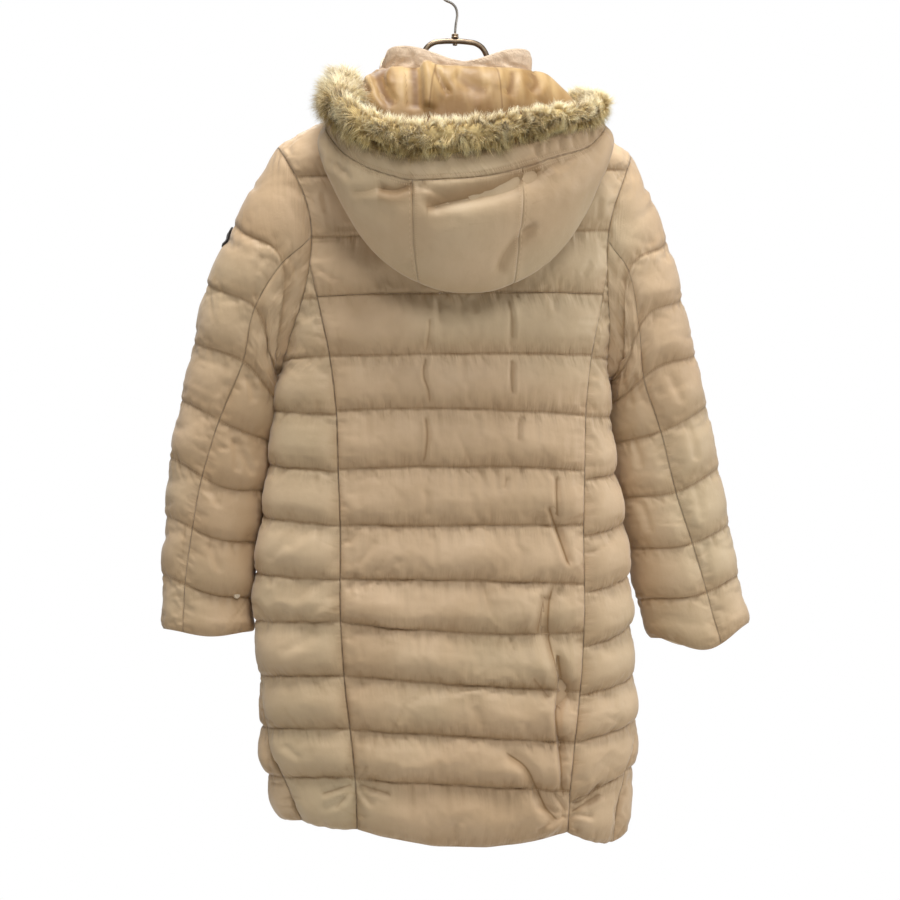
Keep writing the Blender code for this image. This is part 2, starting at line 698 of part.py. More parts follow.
def add_sleeve(side):
    rows = left_sleeve_rows if side > 0 else right_sleeve_rows
    places, full, inner = sleeve_rows(rows)
    word = "left" if side > 0 else "right"
    for piece, steps in (("upper", upper_steps), ("under", under_steps)):
        turn = sleeve_turns(rows, places, steps, piece)
        grid = sleeve_point(side, rows, places, turn)
        outward = sleeve_outward(side, rows, places, turn)
        outward[0] = unit(armhole_start(side, turn, 2, armhole_ring)[0])
        outward[1] = unit(outward[1] + 0.4 * outward[0])
        grid = pull_in(grid, seam_gap / 2)
        grid[0] += unit(grid[1] - grid[0]) * armhole_gap
        near = np.clip(1 - np.cos(turn), 0, 1) * np.clip(1.6 - places[:, None], 0, 1)
        swell = full[:, None] * fullness(np.linspace(0, 1, steps + 1), 0.08)[None] * (1 - 0.8 * near)
        rise = cloth + sleeve_loft * swell
        add_wall(f"sleeve_{word}_{piece}", grid, outward, rise, shell_look, inner)


def add_badge():
    # A plain woven tab sewn flat on the outer side of the left sleeve.
    rows = left_sleeve_rows
    row_places, row_full, _ = sleeve_rows(rows)
    places = np.linspace(*badge_places, 4)
    turn = np.radians(np.linspace(*badge_turns, 4))[None] * np.ones((4, 1))
    outward = sleeve_outward(1, rows, places, turn)
    full = np.interp(places, row_places, row_full)[:, None, None]
    base = sleeve_point(1, rows, places, turn) + outward * (cloth + sleeve_loft * full + badge_gap)
    add_wall("sleeve_badge", base, outward, np.full((4, 4), badge_wall), label_look)


# ---- hood ----

def hood_point(places, spots):
    # Points of the hood's middle surface: spots (0 neck to 5 rim) down, places (-1 to 1) across.
    keys = [row[0] for row in hood_rows]
    sections = np.array([row[1:] for row in hood_rows], float) * (1, 1, -1)
    mirrored = sections[:0:-1] * (-1, 1, 1)
    sections = np.concatenate([mirrored, sections])
    keys = [-key for key in keys[:0:-1]] + keys
    across = through(keys, sections, places)
    points = through(range(len(hood_places)), across.swapaxes(0, 1), spots)
    points[..., 0] += hood_shift * np.clip((points[..., 1] - hood_shift_from) / hood_shift_over, 0, 1)
    return points


def hood_outward(places, spots):
    # The side of the hood's shell, away from its lining.
    small = 0.02
    right = hood_point(np.minimum(places + small, 1), spots)
    left = hood_point(np.maximum(places - small, -1), spots)
    lower = hood_point(places, np.minimum(spots + small, 5))
    upper = hood_point(places, np.maximum(spots - small, 0))
    return unit(np.cross(lower - upper, right - left))


def add_hood_piece(name, places, spots, top, bottom, puff):
    base = pull_in(hood_point(places, spots), seam_gap / 2, top, bottom)
    across = (places - places[0]) / (places[-1] - places[0])
    along = (spots - spots[0]) / (spots[-1] - spots[0])
    full = fullness(along, 0.1)[:, None] * fullness(across, 0.15)[None]
    at_roll = 1 - hood_thin * np.exp(-((spots - 1) / 0.4) ** 2)[:, None]
    rise = (hood_cloth + puff * full) * at_roll
    add_wall(name, base, hood_outward(places, spots), rise, shell_look)


def add_hood():
    spots = np.array(hood_body_spots)
    side = hood_side_places
    band_places = np.concatenate([-side[::-1], hood_middle_places[1:-1], side])
    add_hood_piece("hood_middle", hood_middle_places, spots, False, True, hood_loft)
    add_hood_piece("hood_side_left", side, spots, False, True, hood_loft)
    add_hood_piece("hood_side_right", -side[::-1], spots, False, True, hood_loft)
    add_hood_piece("hood_band", band_places, np.array(hood_band_spots), True, False, 0.5 * hood_loft)
    lining_spots = np.concatenate([spots, hood_band_spots[1:]])
    outward = -hood_outward(band_places, lining_spots)
    shell = pull_in(hood_point(band_places, lining_spots), 2 * lining_wall, True, True)
    base = shell + outward * lining_gap
    rise = np.full(base.shape[:2], lining_wall)
    add_wall("hood_lining", base, outward, rise, lining_look)


def add_rod(name, rings, look):
    # A solid through closed rings of points in millimetres, with flat ends.
    count, around = rings.shape[:2]
    faces = [tuple(range(around))[::-1], tuple(range((count - 1) * around, count * around))]
    for i in range(count - 1):
        for j in range(around):
            k = (j + 1) % around
            faces.append((i * around + j, i * around + k, (i + 1) * around + k, (i + 1) * around + j))
    return add_object(name, closed_mesh(name, rings.reshape(-1, 3) * MM, faces), look)


def add_fur():
    # The fur's outer reach: a soft roll along the hood's rim.
    places = fur_places
    edge = hood_point(places, np.array([4.9, 5.0]))
    ahead = unit(edge[1] - edge[0])
    along = unit(np.gradient(edge[1], axis=0))
    aside = unit(np.cross(along, ahead))
    taper = 1 - fur_taper[0] * np.abs(places) ** 4 - fur_taper[1] * np.abs(places) ** 24
    radius = ((fur_radius + fur_spread * places) * taper)[:, None]
    reach = fur_outward[0] + fur_outward[1] * np.abs(places[:, None])
    centre = edge[1] + ahead * (radius + 2 * seat_gap) + hood_outward(places, np.array([5.0]))[0] * reach
    around = np.linspace(0, 2 * np.pi, fur_around, endpoint=False)
    rings = centre[:, None] + radius[:, None] * (
        np.cos(around)[None, :, None] * ahead[:, None] + np.sin(around)[None, :, None] * aside[:, None]
    )
    add_rod("fur_trim", rings, fur_look)


# ---- collar ----

def halved(points):
    # A line of points with one more between each two.
    count = 2 * len(points) - 1
    steps = np.arange(count) / 2
    return np.stack([np.interp(steps, np.arange(len(points)), points[:, k]) for k in range(3)], axis=-1)


def add_collar():
    # A tall stand collar on the neckline, its ends apart at the top.
    back = tip_distance() * (1 - 2 * np.array(back_columns[3:7]))
    front = front_top_x()[:5]
    spots, ways = [], []
    for side in (1, -1):
        base, way = neck_edge(side * front, -1)
        base_back, way_back = neck_edge(side * back[1:], 1)
        spots.append(np.concatenate([base, base_back]))
        ways.append(np.concatenate([way, way_back]))
    ring = halved(np.concatenate([spots[0], spots[1][-2::-1]]))
    outward = unit(halved(np.concatenate([ways[0], ways[1][-2::-1]])))
    steps = np.linalg.norm(np.diff(ring, axis=0), axis=1)
    length = np.concatenate([[0], np.cumsum(steps)])
    share = 1 - np.abs(2 * length / length[-1] - 1)
    keys, tops = np.array(collar_rows, float).T
    height = (-through(keys, tops, share) - ring[:, 2])[:, None]
    radial = unit(ring * (1, 1, 0))
    rows = []
    for up in collar_ups:
        row = ring + (0, 0, 1) * height * up + radial * collar_lean * up ** 1.5
        part_way = collar_open * up ** 1.2 * np.clip(1 - share / collar_front_share, 0, 1) ** 1.5
        slip = collar_slip * up * np.clip(1 - share / collar_slip_share, 0, 1)
        row[:, 0] += np.sign(ring[:, 0]) * part_way - slip
        rows.append(row)
    grid = np.array(rows)
    grid[0] += (0, 0, seam_gap)
    ways = np.repeat(radial[None], len(rows), axis=0)
    ways[0] = outward
    rise = np.full(grid.shape[:2], collar_wall)
    rise[0] = cloth
    rise[-1] = collar_edge * collar_wall
    grid = pull_in(grid, seam_gap / 2)
    add_wall("collar", grid, ways, rise, shell_look)


# ---- hanger ----

def add_hanger():
    outs, drops = np.array(hanger_rows, float).T
    corners = shoulder_corners()[0]
    arms = np.array([arm_start, 0.5 * (corners[0] + corners[1]), corners[1], arm_bend, hanger_reach])
    drop = np.interp(arms, *shoulder_corners()) + bar_radius + hanger_gap
    half = np.concatenate([
        np.stack([outs, 0 * outs, -drops], axis=-1),
        np.stack([arms, 0 * arms, -drop], axis=-1),
    ])
    path = np.concatenate([half[:0:-1] * (-1, 1, 1), half])
    add_tube("hanger_bar", path, bar_radius, metal_look)
    nut_top = drops[0] - bar_radius - seat_gap - nut_height
    bpy.ops.mesh.primitive_cylinder_add(
        vertices=6, radius=nut_radius * MM, depth=nut_height * MM,
        location=(0, 0, -(nut_top + nut_height / 2) * MM),
    )
    nut = bpy.context.object
    nut.name = "hanger_nut"
    for holder in list(nut.users_collection):
        holder.objects.unlink(nut)
    coat.objects.link(nut)
    nut.data.materials.append(material("hanger_nut", metal_look))
    middle = hook_radius - hook_wire
    circle = [(hook_radius * np.cos(t), 0, -(middle - hook_radius * np.sin(t))) for t in hook_turns]
    stem = [(0, 0, -(nut_top - seat_gap))] + [(x, 0, -drop) for x, drop in stem_rows]
    add_tube("hanger_hook", stem + circle, hook_wire, metal_look)


# ---- zip ----

def add_zip():
    drops = np.linspace(front_drop_at_centre() + tape_top_gap, tape_bottom, tape_rows)
    for side, name in ((1, "zip_tape_left"), (-1, "zip_tape_right")):
        out = np.array([seam_gap / 2, tape_width]) * side
        turn = -turn_at(out[None] * np.ones((len(drops), 1)), drops[:, None])
        base = body_point(turn, drops[:, None] * np.ones((1, 2)))
        base[..., 0] = out
        way = np.zeros_like(base)
        way[..., 1] = -1
        add_wall(name, base, way, np.full(base.shape[:2], tape_wall), shade_look)
    face = front_depth(slider_drop) + tape_wall + seat_gap
    wide, thick, tall = slider_size
    add_block("zip_slider", (wide, thick, tall), (0, -(face + thick / 2), -slider_drop), slider_rounding)
    outer = face + thick
    legs = outer + bridge_legs * bridge_reach
    back = outer + bridge_reach
    flat = bridge_flat * bridge_half
    side = [(outer + seat_gap, bridge_half), (legs, bridge_half), (back, flat)]
    arch = [(0, -out, -slider_drop + up) for out, up in side]
    arch += [(0, -out, -slider_drop - up) for out, up in side[::-1]]
    add_tube("zip_bridge", arch, bridge_wire, metal_look)
    pivot_y = -(outer + 0.5 * bridge_reach - pull_seat)
    add_pull(pivot_y)


def front_depth(drop):
    return float(body_size("front", np.array(float(drop))))


def front_drop_at_centre():
    return float(neck_point(np.array(zip_half_width), -1))


def add_block(name, size, centre, rounding):
    bpy.ops.mesh.primitive_cube_add(size=1, location=np.array(centre) * MM)
    block = bpy.context.object
    block.name = name
    block.data.transform(np.diag([*(np.array(size) * MM), 1]).tolist())
    for holder in list(block.users_collection):
        holder.objects.unlink(block)
    coat.objects.link(block)
    block.data.materials.append(material(name, metal_look))
    bevel = block.modifiers.new("rounding", "BEVEL")
    bevel.width = rounding * MM
    bevel.segments = 2
    return block


def add_pull(pivot_y):
    # A flat tab with a window at its top that holds the bridge. Its origin is on the hinge's axis.
    wide, thick, tall = pull_size
    hole_wide, hole_tall = pull_hole
    top = pull_bar / 2
    curve = bpy.data.curves.new("zip_pull", "CURVE")
    curve.dimensions = "2D"
    curve.fill_mode = "BOTH"
    curve.extrude = thick / 2 * MM
    side = [
        (wide / 2, top), (wide / 2, -hole_tall - pull_waist),
        (wide / 2 - pull_narrow, -tall + pull_waist), (wide / 2 - pull_corner, -tall),
    ]
    outline = side + [(-x, z) for x, z in side[::-1]]
    window = [
        (-hole_wide / 2, -top), (hole_wide / 2, -top),
        (hole_wide / 2, -top - hole_tall), (-hole_wide / 2, -top - hole_tall),
    ]
    for corners in (outline, window):
        spline = curve.splines.new("POLY")
        spline.points.add(len(corners) - 1)
        spline.use_cyclic_u = True
        for spot, (x, z) in zip(spline.points, corners):
            spot.co = (x * MM, z * MM, 0, 1)
    pull = bpy.data.objects.new("zip_pull", curve)
    coat.objects.link(pull)
    curve.materials.append(material("zip_pull", metal_look))
    pull.rotation_euler = (np.radians(90), 0, 0)
    pull.location = (0, pivot_y * MM, -slider_drop * MM)
    return pull


# ---- main ----

for old in list(bpy.data.objects):
    bpy.data.objects.remove(old)

coat = bpy.data.collections.new("long_down_coat")
bpy.context.scene.collection.children.link(coat)

add_back_centre()
add_back_yoke()
for side in (1, -1):
    add_back_side(side)
    add_front(side)
    add_sleeve(side)
add_badge()
add_hood()
add_fur()
add_collar()
add_hanger()
add_zip()
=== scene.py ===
# Long down coat on a hanger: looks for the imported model.
# Shapes are worked out in millimetres. Heights are drops below the hook's inside top, which is the origin.
# The back faces +Y and the wearer's left side is +X.
import math
import time
import bpy
import numpy as np
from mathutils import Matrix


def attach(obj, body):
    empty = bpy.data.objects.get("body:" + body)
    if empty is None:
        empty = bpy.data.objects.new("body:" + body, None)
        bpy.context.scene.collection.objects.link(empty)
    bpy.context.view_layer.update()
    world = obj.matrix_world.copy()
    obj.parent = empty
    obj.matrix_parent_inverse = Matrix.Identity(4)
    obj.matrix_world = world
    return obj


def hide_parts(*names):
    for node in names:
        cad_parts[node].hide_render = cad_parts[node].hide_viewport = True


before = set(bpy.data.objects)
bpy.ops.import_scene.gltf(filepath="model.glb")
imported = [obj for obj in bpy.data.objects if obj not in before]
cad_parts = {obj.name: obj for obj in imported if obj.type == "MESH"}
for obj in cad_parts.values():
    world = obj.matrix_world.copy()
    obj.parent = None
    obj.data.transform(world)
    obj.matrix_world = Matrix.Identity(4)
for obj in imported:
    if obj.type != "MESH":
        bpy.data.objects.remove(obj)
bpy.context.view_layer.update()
scene = bpy.context.scene
print("frame loaded:", len(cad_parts), "nodes")


# ---- small helpers ----

def unit(v):
    # each row divided by its own length
    return v / np.maximum(np.linalg.norm(v, axis=-1, keepdims=True), 1e-12)


def through(keys, values, at):
    # cubic on each span of a table, with the neighbours' mean slopes
    keys, values, at = np.asarray(keys, float), np.asarray(values, float), np.asarray(at, float)
    slopes = np.gradient(values, keys, axis=0)
    span = np.clip(np.searchsorted(keys, at) - 1, 0, len(keys) - 2)
    extra = (1,) * (values.ndim - 1)
    width = (keys[span + 1] - keys[span]).reshape(at.shape + extra)
    t = np.clip((at - keys[span]).reshape(at.shape + extra) / width, 0, 1)
    start = (1 + 2 * t) * (1 - t) ** 2 * values[span] + t * (1 - t) ** 2 * width * slopes[span]
    end = t * t * (3 - 2 * t) * values[span + 1] - t * t * (1 - t) * width * slopes[span + 1]
    return start + end


def smooth(t):
    # 0 to 1 with flat ends: t squared times (3 - 2t)
    t = np.clip(t, 0, 1)
    return t * t * (3 - 2 * t)


def softNoise(points, size, seed=0, octaves=2):
    # sum of sine waves in random directions, about -1 to 1, smooth over "size" millimetres
    dice = np.random.default_rng(seed)
    total, weight = 0, 0
    for octave in range(octaves):
        for _ in range(7):
            way = unit(dice.normal(size=3)) * (2 * np.pi / size) * dice.uniform(0.6, 1.5) * 2 ** octave
            total = total + np.sin(points @ way + dice.uniform(0, 6.28)) / 2 ** octave
        weight += 7 / 2 ** octave
    return total / weight * 2.2


def lengthsAlong(line):
    # running length at every point of a line
    return np.concatenate([[0], np.cumsum(np.linalg.norm(np.diff(line, axis=0), axis=1))])


def clothLengths(grid):
    # running lengths along the rows, and down by the mean step from row to row
    run = np.linalg.norm(np.diff(grid, axis=1), axis=2)
    along = np.concatenate([np.zeros((len(grid), 1)), np.cumsum(run, axis=1)], axis=1)
    fall = np.linalg.norm(np.diff(grid, axis=0), axis=2).mean(axis=1)
    return along, np.concatenate([[0], np.cumsum(fall)])[:, None] * np.ones(grid.shape[:2])


def gridQuads(index):
    # four-cornered faces of a grid of point numbers
    return np.stack([index[:-1, :-1], index[1:, :-1], index[1:, 1:], index[:-1, 1:]], -1).reshape(-1, 4)


def cellSides(grid):
    # two edges of each cell crossed: square to the cell, and as long as its area
    return np.cross(grid[1:, :-1] - grid[:-1, :-1], grid[:-1, 1:] - grid[:-1, :-1])


def fullTurn(count):
    # angles all round, without the last, which is the first again
    return np.linspace(0, 2 * np.pi, count + 1)[:-1]


def everyFew(count, step):
    # row numbers by steps, and always the last row
    return np.append(np.arange(0, count - 1, step), count - 1)


def drawIn(grid, by, ends=True, top=True, bottom=True):
    # moves the edge columns and rows of a grid inwards
    if ends:
        grid[:, 0] += unit(grid[:, 1] - grid[:, 0]) * by
        grid[:, -1] += unit(grid[:, -2] - grid[:, -1]) * by
    if top:
        grid[0] += unit(grid[1] - grid[0]) * by
    if bottom:
        grid[-1] += unit(grid[-2] - grid[-1]) * by


def placed(name, data):
    # a new object in the scene
    thing = bpy.data.objects.new(name, data)
    scene.collection.objects.link(thing)
    return thing


def newMesh(name, points, faces, rounded=False):
    # a mesh from millimetres; "rounded" says which faces are shaded smooth
    mesh = bpy.data.meshes.new(name)
    mesh.from_pydata(points / 1000, [], faces)
    mesh.polygons.foreach_set("use_smooth", np.zeros(len(faces), bool) | rounded)
    return mesh


def seat(piece, node):
    # the piece hangs with the coat and stands for one of the part's solids
    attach(piece, "coat")
    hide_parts(node)


# ---- the coat's body ----

bodyShape = {
    # drop, sideways shift, half width, depth to the back, depth to the front
    "rows": [
        (150, 0, 252, 66, 58), (222, 0, 240, 66, 60), (300, 0, 228, 66, 62), (360, 2, 214, 67, 63),
        (420, 6, 201, 67, 63), (473, 12, 194, 66, 62), (530, 15, 199, 66, 62), (600, 15, 204, 67, 62),
        (660, 14, 212, 68, 63), (755, 14, 221, 71, 65), (812, 12, 220, 73, 66), (892, 6, 220, 75, 68),
        (939, 6, 218, 76, 68), (975, 3, 212, 74, 66), (1010, 0, 203, 70, 62), (1052, -6, 195, 66, 58),
    ],
    "shoulders": [(0, 150), (40, 152), (80, 162), (140, 184), (185, 205), (212, 222), (250, 250)],
    "armhole": [(222, 30.6), (245, 35.0), (276, 39.5), (300, 41.1), (327, 40.6), (347, 38.6),
                (384, 33.0), (420, 23.6), (448, 14.0), (470, 6.3), (487, 0.0)],
    "princess": [(300, 186), (356, 179), (398, 170), (468, 156), (532, 149), (601, 147), (667, 145),
                 (780, 145), (854, 140), (915, 133), (972, 127.5), (1050, 124)],
    "sides": [(440, 0), (487, 0), (850, 0), (905, 9), (962, 21), (1050, 27)],
    "squareness": 2.4,
    "shoulderRound": 75.0,
    "neckHalf": 80.0, "backNeck": 35.0, "frontNeck": 75.0,
    "shoulderDrop": 222.0, "princessDrop": 356.0, "underarmDrop": 487.0,
    "princessBend": 30.0,   # how fast the princess seam leaves the armhole
    "zipHalf": 9.0,
}
shoulderDrop, princessDrop, underarmDrop = (bodyShape[k] for k in ("shoulderDrop", "princessDrop", "underarmDrop"))
armholeMiddle, armholeReach = (shoulderDrop + underarmDrop) / 2, (underarmDrop - shoulderDrop) / 2
neckHalf = bodyShape["neckHalf"]
sideWord = {1: "Left", -1: "Right"}


def bodySize(column, drop):
    rows = np.array(bodyShape["rows"], float)
    return through(rows[:, 0], rows[:, column], drop)


def lineOf(name, at):
    keys, values = np.array(bodyShape[name], float).T
    return through(keys, values, at)


def shoulderLine(x):
    return lineOf("shoulders", np.abs(x))


def bodyPoint(turn, drop):
    # a squared ellipse round the body, drawn in to the shoulder line at the top
    c, s = np.cos(turn), np.sin(turn)
    power = 2 / bodyShape["squareness"]
    x = bodySize(1, drop) + bodySize(2, drop) * np.sign(c) * np.abs(c) ** power
    depth = np.where(s > 0, bodySize(3, drop), bodySize(4, drop))
    below = np.clip((drop - shoulderLine(x)) / bodyShape["shoulderRound"], 0, 1)
    y = depth * np.sign(s) * np.abs(s) ** power * np.sqrt(1 - (1 - below) ** 2)
    return np.stack(np.broadcast_arrays(x, y, -np.asarray(drop, float)), axis=-1)


def bodyOutward(turn, drop):
    # square to the surface: cross of a step down and a step round
    dt, dd = np.radians(0.5), 1.0
    roundIt = bodyPoint(turn + dt, drop) - bodyPoint(turn - dt, drop)
    down = bodyPoint(turn, drop + dd) - bodyPoint(turn, np.maximum(drop - dd, 0))
    return unit(np.cross(down, roundIt))


def turnAt(x, drop):
    share = np.clip((x - bodySize(1, drop)) / bodySize(2, drop), -0.999, 0.999)
    return np.arccos(np.sign(share) * np.abs(share) ** (bodyShape["squareness"] / 2))


def onSide(side, turn):
    # a turn counted from the wearer's left, taken to either side
    return turn if side > 0 else np.pi - turn


def armholeTurn(drop):
    return np.radians(lineOf("armhole", drop))


def sideTurn(drop):
    return np.radians(lineOf("sides", drop))


def princessTurn(side, drop):
    # the seam leaves the armhole and then keeps its own distance from the centre
    start = turnAt(side * lineOf("princess", princessDrop), princessDrop)
    own = turnAt(side * lineOf("princess", drop), drop)
    arm = onSide(side, armholeTurn(princessDrop))
    return own + (arm - start) * np.exp(-np.maximum(drop - princessDrop, 0) / bodyShape["princessBend"])


def neckDrop(x, half):
    angle = np.arccos(np.clip(np.abs(x) / neckHalf, 0, 1))
    return shoulderLine(x) + bodyShape["backNeck" if half > 0 else "frontNeck"] * np.sin(angle)


# ---- sleeves ----

sleeveShape = {
    # outer edge (out, drop), inner edge (out, drop), middle moved (out, drop), half depth, forward, back seam's turn
    "Left": [
        (261, 303, 217, 491, -27, -38, 58, 4, 90), (296, 374, 213, 503, -14, -24, 57, 12, 86),
        (314, 445, 206, 530, -5, -13, 54, 20, 88), (330, 515, 213, 574, 0, 5, 51, 25, 76),
        (343, 585, 220, 632, 0, 13, 49, 28, 66), (348, 654, 229, 693, 0, 9, 47, 29, 60),
        (353, 724, 236, 758, 0, 7, 44, 29, 56), (350, 790, 241, 794, 0, 6, 40, 27, 52),
    ],
    "Right": [
        (257, 313, 198, 492, -25, -38, 58, 4, 90), (281, 384, 193, 504, -14, -24, 57, 12, 100),
        (303, 457, 189, 526, -5, -13, 54, 20, 108), (320, 521, 194, 574, 0, 5, 51, 25, 98),
        (337, 597, 203, 640, 0, 10, 49, 28, 91), (350, 669, 214, 701, 0, 9, 47, 29, 82),
        (362, 731, 228, 762, 0, 9, 44, 29, 76), (373, 791, 246, 807, 0, 22, 40, 27, 72),
    ],
    "frontSeam": -135.0, "topSeam": 78.0,
    "skin": 11.0,
}


def armholeAt(side, lean):
    # the armhole's curve on the body; lean is 0 at the shoulder and plus or minus pi at the underarm
    drop = armholeMiddle - armholeReach * np.cos(lean)
    turn = onSide(side, np.sign(lean + 1e-9) * armholeTurn(drop))
    return bodyPoint(turn, drop), bodyOutward(turn, drop)


def sleeveRing(side, row, turn):
    # an ellipse whose middle is moved along the arm; the move grows with the fourth power of the sine
    out, drop, inOut, inDrop, midOut, midDrop, depth, forward, _ = row
    outer, inner = np.array([out, drop], float), np.array([inOut, inDrop], float)
    half = (outer - inner) / 2
    half = half * (1 - sleeveShape["skin"] / np.linalg.norm(half))
    c, s = np.cos(turn), np.sin(turn)
    spot = (outer + inner) / 2 + half * c[..., None] + np.array([midOut, midDrop]) * (s ** 4)[..., None]
    y = (depth - sleeveShape["skin"]) * s - forward
    return np.stack([side * spot[..., 0], y, -spot[..., 1]], axis=-1)


def sleevePoint(side, places, turn):
    # a skin through the armhole and the rings; turn is 0 outside and 90 degrees at the back
    rows = sleeveShape[sideWord[side]]
    lean = (turn + np.pi) % (2 * np.pi) - np.pi
    stack = np.stack([armholeAt(side, lean)[0]] + [sleeveRing(side, row, turn) for row in rows])
    keys = np.arange(len(rows) + 1)
    return np.stack([through(keys, stack[:, i], np.array(place)) for i, place in enumerate(places)])


def sleeveOutward(side, places, turn):
    dt, dp = np.radians(3), 0.03
    roundIt = sleevePoint(side, places, turn + dt) - sleevePoint(side, places, turn - dt)
    low, high = np.maximum(places - dp, 0), np.minimum(places + dp, 8)
    along = sleevePoint(side, high, turn) - sleevePoint(side, low, turn)
    return unit(np.cross(along, roundIt)) * side


def armholeWay(side, lean):
    # one shared direction at the seam, between the body's and the sleeve's own
    lean = np.asarray(lean, float)
    sleeve = sleeveOutward(side, np.array([0.12]), lean[None])[0]
    way = unit(armholeAt(side, lean)[1] + 0.8 * sleeve)
    top = np.exp(-(lean / 0.3) ** 2)[:, None]
    low = np.exp(-((np.abs(lean) - np.pi) / 0.3) ** 2)[:, None]
    way = way * (1 - top) + np.array([side * 0.41, 0, 0.91]) * top
    return unit(way * (1 - low) + np.array([side * 0.6, 0, -0.8]) * low)


# ---- quilted pieces: grids between their seams ----

quilt = {
    "step": 5.0,            # millimetres between the points of a grid
    "cloth": 4.4, "sleeveCloth": 5.6,   # height of the outer cloth at a seam
    # how much further it stands between the lines, by drop
    "loft": [(150, 5.5), (300, 6.5), (420, 7.6), (540, 8.2), (640, 9.6), (720, 11.2), (1050, 12.0)],
    "sleeveLoft": [(150, 6.0), (400, 6.8), (800, 6.8)],
    "seamEase": 17.0,       # how far from a seam a channel is full
    "droop": 1.32,          # over 1 the channels hang lower
    "slack": 1.2,           # how much higher a line's stitches stand in loose stretches
    "wander": 1.0,          # how far a line strays from its curve
    "pucker": 1.0,
    "gap": 0.5,
    "wanderLength": 60.0, "unevenLength": 120.0, "looseLength": 70.0,
    "uneven": 0.16,         # share by which the height between the lines varies
    "hold": 14.0,           # how far from the armhole the cloth keeps the direction that it shares there
    # columns across each piece, and rows between two of a sleeve's lines
    "columns": {"centre": 52, "yoke": 86, "side": 16, "front": 50, "Upper": 44, "Under": 28},
    "sleeveRows": 14,
}
quiltLines = {
    # drop at the first seam, in the middle, at the last seam
    "centre": [(398, 393, 391), (468, 465, 464), (532, 530, 537), (601, 598, 603), (667, 667, 667),
               (729, 732, 738), (779, 793, 795), (842, 854, 865), (905, 915, 925), (962, 972, 982),
               (1022, 1045, 1031)],
    "sideLeft": [(360, 360, 361), (400, 400, 400), (472, 470, 468), (531, 534, 537), (594, 599, 604),
                 (655, 661, 667), (722, 727, 730), (779, 780, 779), (844, 843, 842), (906, 905, 904),
                 (962, 961, 960), (1013, 1021, 1022)],
    "sideRight": [(360, 360, 361), (400, 400, 400), (467, 467, 467), (538, 539, 539), (604, 609, 614),
                  (661, 671, 681), (723, 736, 748), (780, 797, 813), (844, 858, 870), (902, 914, 925),
                  (962, 979, 996), (1048, 1046, 1032)],
    "frontLeft": [(262, 260, 258), (331, 330, 329), (400, 399, 398), (472, 472, 472), (531, 531, 531),
                  (594, 594, 594), (655, 655, 655), (722, 722, 722), (779, 779, 779), (844, 844, 844),
                  (906, 906, 906), (962, 962, 962), (1024, 1020, 1013)],
    "frontRight": [(262, 260, 258), (331, 330, 329), (400, 399, 398), (467, 467, 467), (538, 538, 538),
                   (604, 604, 604), (661, 661, 661), (723, 723, 723), (780, 780, 780), (844, 844, 844),
                   (902, 902, 902), (958, 958, 962), (1024, 1032, 1048)],
    "yoke": [(258, 252, 243), (329, 323, 316), (398, 393, 391)],
}


def channelGrid(lines, across, top=None):
    # drops of every row and column: straight between one quilting line and the next; each line bows
    # by a parabola through its middle. Also each row's place, whole numbers being the lines. The rows
    # are closer below a top edge that isn't a line.
    lines = np.array(lines, float)
    first, middle, last = lines[:, 0:1], lines[:, 1:2], lines[:, 2:3]
    drops = first * (1 - across) + last * across + (middle - (first + last) / 2) * 4 * across * (1 - across)
    spot = np.stack([first - last + 240 * across, first + 0 * across, 0 * drops], axis=-1)
    stray = softNoise(spot, quilt["wanderLength"], 71, 2)
    drops = drops + quilt["wander"] * stray * np.clip(12 * across * (1 - across), 0, 1)
    if top is not None:
        drops = np.concatenate([top[None], drops])
    rows, places = [], []
    for i in range(len(drops) - 1):
        height = np.mean(drops[i + 1] - drops[i])
        count = max(6, int(round(height / quilt["step"])))
        t = np.arange(count) / count
        if i == 0 and top is not None:
            count += 5
            t = (np.arange(count) / count) ** 1.8
        rows.append(drops[i] * (1 - t[:, None]) + drops[i + 1] * t[:, None])
        places.append(i + t)
    return np.concatenate(rows + [drops[-1:]]), np.concatenate(places + [[len(drops) - 1.0]])


def puffShape(t):
    # rises steeply from both lines and is fullest a little below the middle
    t = np.clip(t, 0, 1) ** quilt["droop"]
    return np.clip(1 - np.abs(2 * t - 1) ** 2.1, 0, 1) ** 0.8


def panelParts(name, base, way, places, loft="loft", cloth="cloth"):
    # everything a quilted piece needs: heights, lengths along the cloth and distances to its seams
    along, down = clothLengths(base)
    edgeGap = np.minimum(along, along[:, -1:] - along)
    share = places - np.floor(places)
    lines = np.flatnonzero(share < 1e-6)
    lineGap = np.min(np.abs(down[:, :1] - down[lines, 0][None]), axis=1)[:, None] * np.ones(base.shape[:2])
    full = puffShape(share)[:, None] * np.clip(edgeGap / quilt["seamEase"], 0, 1) ** 0.55
    keys, lofts = np.array(quilt[loft], float).T
    full = full * np.interp(-base[..., 2], keys, lofts)
    full = full * (1 + quilt["uneven"] * softNoise(base, quilt["unevenLength"], 73, 1))
    full = full * (1 - 0.5 * np.abs(way[..., 0]) ** 3)
    loose = np.clip(softNoise(base, quilt["looseLength"], 74, 1), 0, 1) * np.clip(edgeGap / 25, 0, 1) * (down > 30)
    return {
        "name": name, "base": base, "way": way, "places": places, "lines": lines, "lift": full,
        "along": along, "down": down, "edgeGap": edgeGap, "lineGap": lineGap,
        "cloth": quilt[cloth] + quilt["slack"] * loose,
    }


